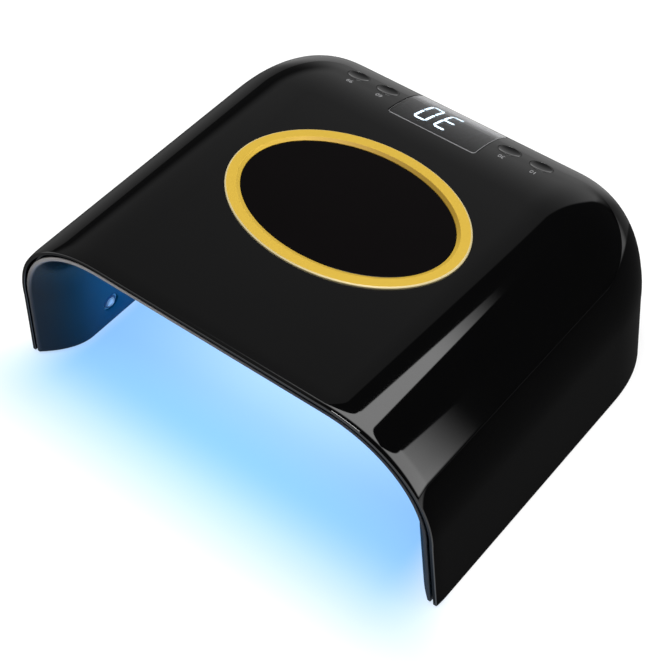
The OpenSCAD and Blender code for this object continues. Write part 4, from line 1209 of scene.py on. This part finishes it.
def lamp_group(name, places, base_finish, dome_finish, chip_finish):
    """A group of lamps: round bases, a clear dome on each, and four lit chips under it."""
    base, domes, chips = Shell(), Shell(), Shell()
    cup_floor = LAMP_BASE_DEPTH - CUP_DEPTH
    narrowing = LAMP_DOME[0] - LAMP_BASE_RADIUS
    base_points = [(0, -SEAT_GAP), (0, LAMP_BASE_DEPTH), (narrowing, LAMP_BASE_DEPTH)]
    base_path = section(base_points, [0, LAMP_ROUND, 0], turn=-1)
    cup_path = section([(0, LAMP_BASE_DEPTH), (-CUP_DEPTH, cup_floor)], turn=-1)
    chip_path = section([(0, cup_floor), (0, LAMP_BASE_DEPTH - CHIP_SINK)], turn=-1)
    base_loop, cup_loop = [oval(radius, radius, BASE_SIDES) for radius in (LAMP_BASE_RADIUS, LAMP_DOME[0])]
    chip_corners = [(CHIP_HALF * x, CHIP_HALF * y) for x, y in ((1, -1), (1, 1), (-1, 1), (-1, -1))]
    chip_loop = [(point, unit(point)) for point in chip_corners]
    for place, out, across in places:
        along = cross(out, across)
        inward = scaled(out, -1)

        def seat(flat, height, place=place, inward=inward, across=across, along=along):
            spot = add(add(add(place, across, flat[0]), along, flat[1]), inward, height)
            return spot, inward, across, along

        base.fill(faced(swept(base, base_loop, base_path, seat)[0], out))
        base.fill(faced(swept(base, cup_loop, cup_path, seat)[-1], inward))
        rises = [math.pi / 2 * k / DOME_STEPS for k in range(DOME_STEPS + 1)]
        rows = [[dome_corner(seat, turn, rise) for turn in turns_round(BASE_SIDES)] for rise in rises]
        domes.grid(rows, closed=True)
        domes.face([(place, out) for place, normal in rows[0]])
        for middle in CHIP_PLACES:
            rings = swept(chips, moved(chip_loop, middle), chip_path, seat)
            chips.face(corners(faced(rings[-1], inward)))
            chips.face(corners(faced(rings[0], out)))
    base.build(name + "_bases", "lamp_clear", base_finish, replaces=[name])
    domes.build(name + "_domes", "lamp_clear", dome_finish)
    chips.build(name + "_chips", "lamp_clear", chip_finish)


# Finishes
class Wire:
    """A shader node's output, which sums and products are written with."""

    def __init__(self, paint, socket):
        self.paint, self.socket = paint, socket

    def math(self, operation, *others):
        return self.paint.node("Math", {"operation": operation}, dict(enumerate((self, *others))))

    def __add__(self, other):
        return self.math("ADD", other)

    def __sub__(self, other):
        return self.math("SUBTRACT", other)

    def __rsub__(self, other):
        return self.math("MULTIPLY", -1.0).math("ADD", other)

    def __mul__(self, other):
        return self.math("MULTIPLY", other)

    def __truediv__(self, other):
        return self.math("DIVIDE", other)

    __radd__ = __add__
    __rmul__ = __mul__

    def __abs__(self):
        return self.math("ABSOLUTE")

    def above(self, other):
        return self.math("MAXIMUM", other)

    def between(self, low, high):
        """Runs from 0 at the low value to 1 at the high one, smoothly."""
        settings = {"interpolation_type": "SMOOTHSTEP", "clamp": True}
        return self.paint.node("MapRange", settings, {"Value": self, "From Min": low, "From Max": high})


class Paint:
    """The nodes of one finish."""

    def __init__(self, tree):
        self.tree = tree
        tree.nodes.clear()

    def node(self, kind, settings=None, sockets=None, out=0):
        """Makes a node with its settings, and its sockets linked or set."""
        made = self.tree.nodes.new("ShaderNode" + kind)
        for name, value in (settings or {}).items():
            setattr(made, name, value)
        for name, value in (sockets or {}).items():
            if isinstance(value, Wire):
                self.tree.links.new(value.socket, made.inputs[name])
            else:
                made.inputs[name].default_value = value
        return Wire(self, made.outputs[out] if made.outputs else None)

    def parts(self, vector):
        """The three components of a vector."""
        return [self.node("SeparateXYZ", None, {"Vector": vector}, out=k) for k in range(3)]

    def normal(self):
        """The components of the surface's direction, as the object has it."""
        return self.parts(self.node("TexCoord", out=1))

    def facing(self):
        """Runs from 0 where the surface is seen square to 1 where it is seen edge on."""
        return self.node("LayerWeight", None, {"Blend": 0.5}, out=1)

    def place(self, scale=1.0):
        """The object's own coordinates, in metres times the scale."""
        spot = self.node("TexCoord", out=3)
        return self.node("VectorMath", {"operation": "SCALE"}, {0: spot, "Scale": scale})

    def noise(self, pitch, detail=2.0, roughness=0.5):
        """Soft noise with features of about the pitch, in metres."""
        sockets = {"Vector": self.place(1 / pitch), "Scale": 1.0, "Detail": detail, "Roughness": roughness}
        return self.node("TexNoise", None, sockets)

    def mixed(self, share, one, two):
        """A value between two values."""
        return self.node("Mix", {"data_type": "FLOAT"}, {0: share, 2: one, 3: two})

    def blend(self, share, one, two):
        """A colour between two colours."""
        one, two = [shade if isinstance(shade, Wire) else (*shade, 1.0) for shade in (one, two)]
        return self.node("Mix", {"data_type": "RGBA"}, {0: share, 6: one, 7: two}, out=2)

    def varied(self, cloud, shade, factor):
        """A shade that varies with a noise between itself and itself times a factor."""
        return self.blend(cloud, shade, scaled(shade, factor))

    def bump(self, height, strength, distance):
        return self.node("Bump", None, {"Height": height, "Strength": strength, "Distance": distance})


def painted(name):
    """A new material, and the paint of its nodes."""
    material = bpy.data.materials.new(name)
    material.use_nodes = True
    return material, Paint(material.node_tree)


FINISHES = {}


def finish(name, recipe, *looks):
    """A material whose recipe gives the sockets of its one shader."""
    FINISHES[name], paint = painted(name)
    shader = paint.node("BsdfPrincipled", None, recipe(paint, *looks))
    paint.node("OutputMaterial", None, {"Surface": shader})


# The clear gloss: its refraction, its roughness, and the soft waves under it as pitch, strength and depth
GLOSS_IOR = 1.5
COVER_POLISH = 0.035
LINER_POLISH = 0.22
WAVES = (0.003, 0.02, 0.00005)

# Where the gloss fades on the cover, as parts of the surface's direction and of the way it is seen
REAR_BACKWARD = (0.08, 0.35)
REAR_SIDEWAYS = (0.1, 0.5)
REAR_FACING = (0.5, 0.8)
REAR_FADE = 0.6
STEEP_BACK_SHARE = 0.35
STEEP_SPAN = (0.815, 0.835)
FAR_FACING = (0.78, 1.0)


def waves(paint):
    """The soft waves under a clear gloss."""
    pitch, strength, depth = WAVES
    return paint.bump(paint.noise(pitch, 1.0), strength, depth)


def moulded(paint, dark, light, roughness, grain=0.0004, depth=0.15):
    """Moulded plastic: two near shades, an uneven gloss and a fine grain."""
    cloud = paint.noise(0.012, 3.0)
    return {
        "Base Color": paint.blend(cloud, dark, light),
        "Roughness": cloud * 0.06 + (roughness - 0.03),
        "Normal": paint.bump(paint.noise(grain), depth, 0.00004),
    }


def gloss_black(paint, shade, dulling, gloss=1.0, falls=(0.48, 0.57), least=0.13, far=0.9):
    """Deep gloss plastic: a dull black body under a clear gloss.

    The gloss fades at a glancing look and on the side walls, and less over the rear edge.
    """
    facing = paint.facing()
    sideways, backward = paint.normal()[:2]
    rear = backward.between(*REAR_BACKWARD) * (1 - sideways.between(*REAR_SIDEWAYS))
    steep = abs(sideways) + backward * STEEP_BACK_SHARE
    fading = facing.between(*falls) * (1 - rear)
    glance = (1 - fading * (1 - least)) * (1 - facing.between(*FAR_FACING) * far)
    glance = glance * (1 - facing.between(*REAR_FACING) * rear * far * REAR_FADE)
    weight = paint.mixed(steep.between(*STEEP_SPAN), glance, WALL_GLOSS)
    cloud = paint.noise(0.02, 3.0)
    return {
        "Base Color": paint.varied(cloud, shade, 1.6),
        "Roughness": cloud * 0.1 + (dulling - 0.05),
        "Specular IOR Level": 0.0,
        "Coat Weight": weight * gloss,
        "Coat Roughness": COVER_POLISH,
        "Coat IOR": GLOSS_IOR,
        "Normal": waves(paint),
    }


def liner_gloss(paint):
    """The liner: a lip with a painted highlight on the left, a grey nose, and a blue that deepens inwards,
    painted lamplight on the blue-black liner.
    """
    across, ahead, up = paint.parts(paint.place(1 / METRE))
    depth = ahead - FRONT + (up - FOOT_STAND) * LEAN
    cloud = paint.noise(0.02, 3.0)
    # Painted lamplight: the liner turns from its dark nose to a brighter blue deeper in the mouth.
    inside = paint.blend(depth.between(*MOUTH_SPAN), paint.varied(cloud, LINER_NOSE, 1.3), LINER_PAINTED_GLOW)
    # Painted highlight: the lip is pale on the left and low down, fading to its plain dark shade elsewhere.
    dark = across.between(*LIP_FADE).above(1 - up.between(*LIP_RISE))
    return {
        "Base Color": paint.blend(depth.between(*LIP_SPAN), paint.blend(dark, LIP_PAINTED_HIGHLIGHT, LIP_DARK), inside),
        "Roughness": cloud * 0.1 + 0.35,
        "Specular IOR Level": 0.0,
        "Coat Weight": 0.25 - paint.facing().between(0.5, 0.95) * 0.15,
        "Coat Roughness": LINER_POLISH,
        "Coat IOR": GLOSS_IOR,
        "Normal": waves(paint),
    }


def gilt(paint):
    """The ring: satin gold with a painted highlight on its outer edge and painted shade where it looks
    towards the front.
    """
    across, ahead = paint.parts(paint.place(1 / METRE))[:2]
    # Painted highlight: the ring's outer edge is painted pale by its place on the oval.
    wide, deep = across / RING_HALF[0], (ahead - FRONT - RING_CENTRE) / RING_HALF[1]
    reach = (wide * wide + deep * deep).math("SQRT")
    cloud = paint.noise(0.006, 4.0)
    forward = paint.normal()[1] * -1
    # Painted shade: the gold darkens where the surface looks towards the front.
    face = paint.blend(forward.between(*GOLD_TURN), paint.varied(cloud, GOLD, 0.94), GOLD_PAINTED_SHADE)
    return {
        "Base Color": paint.blend(reach.between(*GOLD_EDGE), face, GOLD_PAINTED_HIGHLIGHT),
        "Metallic": 0.25,
        "Specular IOR Level": 0.15,
        "Roughness": cloud * 0.08 + 0.42,
        "Normal": paint.bump(paint.noise(0.0008, 3.0), 0.05, 0.00003),
    }


def metal(paint, tone, shade, roughness):
    """Bare metal with an uneven shine."""
    cloud = paint.noise(0.006, 4.0)
    return {
        "Base Color": paint.blend(cloud, shade, tone),
        "Metallic": 1.0,
        "Roughness": cloud * 0.08 + (roughness - 0.04),
        "Normal": paint.bump(paint.noise(0.0008, 3.0), 0.05, 0.00003),
    }


def clear(paint, dark, light, pitch, roughness, unevenness, refraction):
    """Clear or smoked plastic that light goes through."""
    cloud = paint.noise(pitch)
    return {
        "Base Color": paint.blend(cloud, dark, light),
        "Roughness": cloud * unevenness + roughness,
        "Transmission Weight": 1.0,
        "IOR": refraction,
    }


def glowing(paint, dark, light, glow, strength, upward=False):
    """A lit piece, or one that glows only where it looks up."""
    cloud = paint.noise(0.004, 2.0)
    lit = cloud * 0.1 + 0.9
    if upward:
        lit = lit * paint.normal()[2].between(0.5, 0.6)
    return {
        "Base Color": paint.blend(lit, dark, light),
        "Roughness": cloud * 0.1 + 0.3,
        "Emission Color": paint.blend(lit, (0, 0, 0), glow),
        "Emission Strength": strength,
    }


def board_paint(paint, base, track, pad):
    """A circuit board: tracks and pads under its lacquer."""
    place = paint.place()
    tracks = {"Vector": place, "Scale": 260.0, "Distortion": 3.0}
    share = paint.node("TexWave", {"bands_direction": "X"}, tracks).between(0.8, 0.95)
    flecks = paint.node("TexVoronoi", None, {"Vector": place, "Scale": 420.0})
    dots = 1 - flecks.between(0.12, 0.2)
    return {
        "Base Color": paint.blend(dots * 0.7, paint.blend(share, base, track), pad),
        "Roughness": share * 0.1 + 0.32,
        "Normal": paint.bump(share, 0.2, 0.00004),
    }


# Two near shades and a roughness of each plain plastic
PLASTICS = {
    "label_ink": ((0.19, 0.19, 0.195), (0.22, 0.22, 0.225), 0.5),
    # The window's rim: a pale grey painted highlight on the smoked window's bevel.
    "window_bevel": ((0.15, 0.15, 0.155), (0.18, 0.18, 0.185), 0.5),
    "plunger_cream": ((0.56, 0.53, 0.45), (0.6, 0.57, 0.49), 0.5),
    "switch_black": ((0.02, 0.02, 0.022), (0.028, 0.028, 0.03), 0.45),
    "chip_black": ((0.016, 0.016, 0.018), (0.024, 0.024, 0.026), 0.5),
    "socket_white": ((0.76, 0.74, 0.67), (0.8, 0.78, 0.72), 0.45),
    "display_black": ((0.009, 0.009, 0.01), (0.013, 0.013, 0.014), 0.4),
    "segment_dark": ((0.03, 0.033, 0.036), (0.038, 0.041, 0.045), 0.4),
    "jack_black": ((0.012, 0.012, 0.013), (0.018, 0.018, 0.02), 0.4),
    "lamp_base_grey": ((0.02, 0.05, 0.09), (0.03, 0.06, 0.11), 0.4),
    "receiver_dark": ((0.008, 0.008, 0.01), (0.012, 0.012, 0.014), 0.2),
    "lead_white": ((0.7, 0.69, 0.66), (0.76, 0.75, 0.72), 0.5),
    "lead_red": ((0.42, 0.02, 0.015), (0.5, 0.03, 0.02), 0.45),
    "lead_black": ((0.012, 0.012, 0.012), (0.018, 0.018, 0.018), 0.45),
    "foot_rubber": ((0.012, 0.012, 0.0125), (0.02, 0.02, 0.0205), 0.75, 0.0006, 0.5),
}

# The recipe of each other finish, with its values
OTHER_LOOKS = {
    "cover_gloss_black": (gloss_black, (0.0005, 0.0005, 0.00055), 0.4),
    "liner_blue_black": (liner_gloss,),
    "gilt_metal": (gilt,),
    "inlay_gloss_black": (gloss_black, (0.0008, 0.0005, 0.0006), 0.4, 0.3),
    "key_gloss_black": (gloss_black, (0.001, 0.001, 0.0011), 0.35, 0.95, (0.9, 1.0), 0.8, 0.1),
    "window_smoke": (clear, (0.16, 0.165, 0.18), (0.18, 0.185, 0.2), 0.01, 0.02, 0.02, 1.49),
    "board_green": (board_paint, (0.01, 0.09, 0.035), (0.02, 0.16, 0.06), (0.6, 0.55, 0.4)),
    "board_white": (board_paint, (0.72, 0.71, 0.67), (0.66, 0.65, 0.61), (0.5, 0.47, 0.4)),
    "screw_steel": (metal, (0.5, 0.51, 0.53), (0.42, 0.43, 0.45), 0.32),
    "segment_lit": (glowing, (0.02, 0.025, 0.03), (0.5, 0.6, 0.65), (0.74, 0.92, 1.0), 15.0, True),
    "contact_metal": (metal, (0.75, 0.62, 0.3), (0.66, 0.53, 0.25), 0.3),
    "lamp_dome_clear": (clear, (0.93, 0.95, 1.0), (0.96, 0.98, 1.0), 0.003, 0.35, 0.05, 1.45),
    "lamp_chip_lit": (glowing, (0.2, 0.3, 0.45), (0.3, 0.4, 0.55), (0.42, 0.62, 1.0), 0.6),
}

# The finish of each slot that isn't named after one
SLOT_FINISHES = {
    "cover_black": "cover_gloss_black",
    "gilt": "gilt_metal",
    "inlay_black": "inlay_gloss_black",
    "smoked_window": "window_smoke",
    "key_black": "key_gloss_black",
    "lamp_clear": "lamp_dome_clear",
}


def make_finishes():
    """Makes every finish of the two tables."""
    for name, looks in PLASTICS.items():
        finish(name, moulded, *looks)
    for name, looks in OTHER_LOOKS.items():
        finish(name, *looks)


def finish_solids():
    """Gives each solid that stays shown the finish of its slot."""
    for row in frame["record"]["subparts"]:
        slot = row["material_slot"]
        materials = frame["nodes"][row["node"]].data.materials
        materials.clear()
        materials.append(FINISHES[SLOT_FINISHES.get(slot, slot)])


# The studio and its camera, with lengths in millimetres before they are turned into metres
CAMERA_TARGET = Vector((14.07, -34.655, 46)) * METRE
CAMERA_TURN = math.radians(37.89)
CAMERA_RISE = math.radians(48.333)
CAMERA_ROLL = math.radians(0.12)
CAMERA_DISTANCE = 722.18 * METRE
CAMERA_LENS = 92.85
CAMERA_SENSOR = 36

# Half the table's width, in metres
TABLE_HALF = 20.0

# The pool of the lamps' light painted on the table as a blue colour, in millimetres across it and ahead of
# the mouth
POOL_REACH = (-15, 55)
POOL_BACK = (-170, -120)
POOL_MIDDLE = -2
POOL_WIDTH = 128
POOL_WIDEN = 24
POOL_EDGE = 40
PAINTED_POOL_TONE = (0.325, 0.635, 1.0)
PALE_REACH = (10, 110)
PALE_DEPTHS = (-65, -5)
PALE_SHARE = 0.42
SHADOW_SHARE = 0.2

# The lamps' light inside the mouth: places in millimetres, the size of each source in metres
GLOW_PLACES = ((-45, 30), (0, 25), (45, 30), (-45, 85), (0, 85), (45, 85))
GLOW_HEIGHT = 74
GLOW_SIZE = (0.04, 0.03)
GLOW_POWER = 0.045
GLOW_TINT = (0.05, 0.40, 1.0)

# The light from above, in metres and degrees
OVERHEAD_POWER = 38
OVERHEAD_SIZE = (0.75, 0.75)
OVERHEAD_WAY = (180, 79)
OVERHEAD_DISTANCE = 1.6

# The room that the gloss mirrors, in degrees: azimuths from the back to +X, rolls from straight up to +X
ROOM_LEAST = 0.03
ROOM_PALE = 0.15
PALE_GLOW = 0.58
GLOW_AZIMUTHS = (-58, -16)
GLOW_RISES = (18, 57)
PALE_EDGE = 5
PALE_EDGE_RISE = 22
PALE_EDGE_CURVE = 0.012
STEEP_RISE = 50
STEEP_CURVE = 0.3
SOFT_RISE = 15
SOFTENING = 0.9
LEAST_SOFTNESS = 2

# The two bright strips: their edges as rolls, and how they slant, flare and fade by the way's own y
STRIP_GLOW = 4.35
STRIP_REACH = (0.28, 0.32)
FRONT_WAY = 0.497
FLARE = 400
FIRST_EDGES = (62, 16)
FIRST_SOFTNESS = (1, 1.2)
FIRST_SLANT = 120
FIRST_FLARE = 1.6
FIRST_FADE = (0.55, 0.597)
SECOND_EDGE = 43
SECOND_SOFTNESS = 1.5
SECOND_SLANT = 180
SECOND_END = (87, 90)
SECOND_FADE = (0.49, 0.545)
SECOND_SHARE = 0.85



def camera():
    """The camera at the photograph's viewpoint."""
    data = bpy.data.cameras.new("camera")
    data.lens = CAMERA_LENS
    data.sensor_width = CAMERA_SENSOR
    data.clip_start = 0.05
    data.clip_end = 50
    flat = math.cos(CAMERA_RISE)
    seen_from = Vector((math.sin(CAMERA_TURN) * flat, -math.cos(CAMERA_TURN) * flat, math.sin(CAMERA_RISE)))
    holder = link(bpy.data.objects.new("camera", data))
    turned = (-seen_from).to_track_quat("-Z", "Y").to_matrix().to_4x4()
    rolled = turned @ Matrix.Rotation(-CAMERA_ROLL, 4, "Z")
    holder.matrix_world = Matrix.Translation(CAMERA_TARGET + seen_from * CAMERA_DISTANCE) @ rolled
    bpy.context.scene.camera = holder


def floor():
    """The white table, with the pool of blue light that the lamps throw out of the mouth painted into its
    colour.
    """
    mesh = bpy.data.meshes.new("table_top")
    square = [(x * TABLE_HALF, y * TABLE_HALF, 0) for x, y in ((-1, -1), (1, -1), (1, 1), (-1, 1))]
    mesh.from_pydata(square, [], [(0, 1, 2, 3)])
    piece = link(bpy.data.objects.new("table_top", mesh))
    material, paint = painted("table_white")
    x, y = paint.parts(paint.node("TexCoord", out=3))[:2]
    aside = abs(x / METRE - POOL_MIDDLE)
    ahead = FRONT - y / METRE
    widened = ahead.above(-POOL_EDGE / 2).math("MINIMUM", POOL_WIDEN) + POOL_WIDTH
    # Painted light: the table's colour turns blue under and ahead of the mouth, less so deep under the
    # middle.
    pool = (1 - ahead.between(*POOL_REACH)) * ahead.between(*POOL_BACK)
    pale = (1 - ahead.between(*PALE_DEPTHS)) * (1 - aside.between(*PALE_REACH))
    pool = pool * (1 - aside.between(POOL_WIDTH - POOL_EDGE, widened)) * (1 - pale * PALE_SHARE)
    tone = paint.blend(pool, (1, 1, 1), PAINTED_POOL_TONE)
    lit = paint.node("BsdfDiffuse", None, {"Color": tone, "Roughness": 0.5})
    shown = paint.node("Emission", None, {"Color": tone, "Strength": 1.0})
    camera_ray, glossy_ray, through_ray = [paint.node("LightPath", out=k) for k in (0, 3, 6)]
    seen = camera_ray.above(glossy_ray).above(through_ray)
    blend = paint.node("MixShader", None, {0: seen * (1 - SHADOW_SHARE), 1: lit, 2: shown})
    paint.node("OutputMaterial", None, {"Surface": blend})
    mesh.materials.append(material)


def soft_light(name, power, size, azimuth=0, elevation=90, distance=0):
    """A soft light that looks back at the lamp from a way out: the azimuth is from +Y towards +X."""
    data = bpy.data.lights.new(name, "AREA")
    data.shape = "RECTANGLE"
    data.size, data.size_y = size
    data.energy = power
    a, e = math.radians(azimuth), math.radians(elevation)
    way = Vector((math.sin(a) * math.cos(e), math.cos(a) * math.cos(e), math.sin(e)))
    holder = link(bpy.data.objects.new(name, data))
    turned = way.to_track_quat("Z", "Y").to_matrix().to_4x4()
    holder.matrix_world = Matrix.Translation(way * distance) @ turned
    return holder


def mouth_glow():
    """The lamps' own light on the liner and on the table inside the mouth."""
    for k, (x, depth) in enumerate(GLOW_PLACES):
        glow = soft_light(f"glow_{k}", GLOW_POWER, GLOW_SIZE)
        glow.data.color = GLOW_TINT
        glow.location = (x * METRE, (depth + FRONT) * METRE, GLOW_HEIGHT * METRE)
        glow.visible_glossy = glow.visible_camera = False


def strip_light(roll, y):
    """Two long bright strips over the lamp, which the shoulders mirror as streaks."""
    before = (FRONT_WAY - y).above(0)
    flare = before * before * FLARE
    slant = y.above(FRONT_WAY)
    low = slant * FIRST_SLANT - FIRST_EDGES[0] - flare * FIRST_FLARE
    high = flare + FIRST_EDGES[1]
    first = roll.between(low, low + FIRST_SOFTNESS[0]) * (1 - roll.between(high, high + FIRST_SOFTNESS[1]))
    first = first * (1 - y.between(*FIRST_FADE))
    low = slant * SECOND_SLANT - SECOND_EDGE - flare
    second = roll.between(low, low + SECOND_SOFTNESS) * (1 - roll.between(*SECOND_END))
    second = second * (SECOND_SHARE - y.between(*SECOND_FADE) * SECOND_SHARE)
    return first.above(second) * y.between(*STRIP_REACH)


def world():
    """A dim room: pale behind on the left, dark on the right, with the bright strips."""
    setting = bpy.data.worlds.new("room")
    setting.use_nodes = True
    bpy.context.scene.world = setting
    paint = Paint(setting.node_tree)
    x, y, z = paint.parts(paint.node("TexCoord", out=0))
    azimuth, roll = x.math("ARCTAN2", y) * DEGREES, x.math("ARCTAN2", z) * DEGREES
    rise = z.math("ARCSINE") * DEGREES
    offset, steep = rise - PALE_EDGE_RISE, (rise - STEEP_RISE).above(0)
    limit = PALE_EDGE - offset * abs(offset) * PALE_EDGE_CURVE - steep * steep * STEEP_CURVE
    softness = (SOFT_RISE - rise).above(0) * SOFTENING + LEAST_SOFTNESS
    left = 1 - ((azimuth - limit) / softness).between(-1, 0)
    glow = azimuth.between(*GLOW_AZIMUTHS) * (1 - rise.between(*GLOW_RISES)) * PALE_GLOW
    room = left * (ROOM_PALE + glow)
    shades = {"Color": room + ROOM_LEAST + strip_light(roll, y) * STRIP_GLOW, "Strength": 1.0}
    paint.node("OutputWorld", None, {"Surface": paint.node("Background", None, shades)})


def studio():
    """Everything round the lamp that the picture needs."""
    camera()
    floor()
    world()
    soft_light("overhead", OVERHEAD_POWER, OVERHEAD_SIZE, *OVERHEAD_WAY, OVERHEAD_DISTANCE)
    mouth_glow()


# The whole lamp
studio()
make_finishes()
outer_cover(FINISHES["cover_gloss_black"])
inner_liner(FINISHES["liner_blue_black"])
gold_ring(FINISHES["gilt_metal"])
oval_inlay(FINISHES["inlay_gloss_black"])
display_window(FINISHES["window_smoke"], FINISHES["window_bevel"])
for key_word in KEY_PLACES:
    timer_key(key_word, FINISHES["key_gloss_black"])
    key_label(key_word, FINISHES["label_ink"])
lamp_looks = [FINISHES[name] for name in ("lamp_base_grey", "lamp_dome_clear", "lamp_chip_lit")]
for group, group_places in lamp_frames().items():
    lamp_group(group, group_places, *lamp_looks)
finish_solids()

bpy.context.scene.view_settings.view_transform = "Standard"
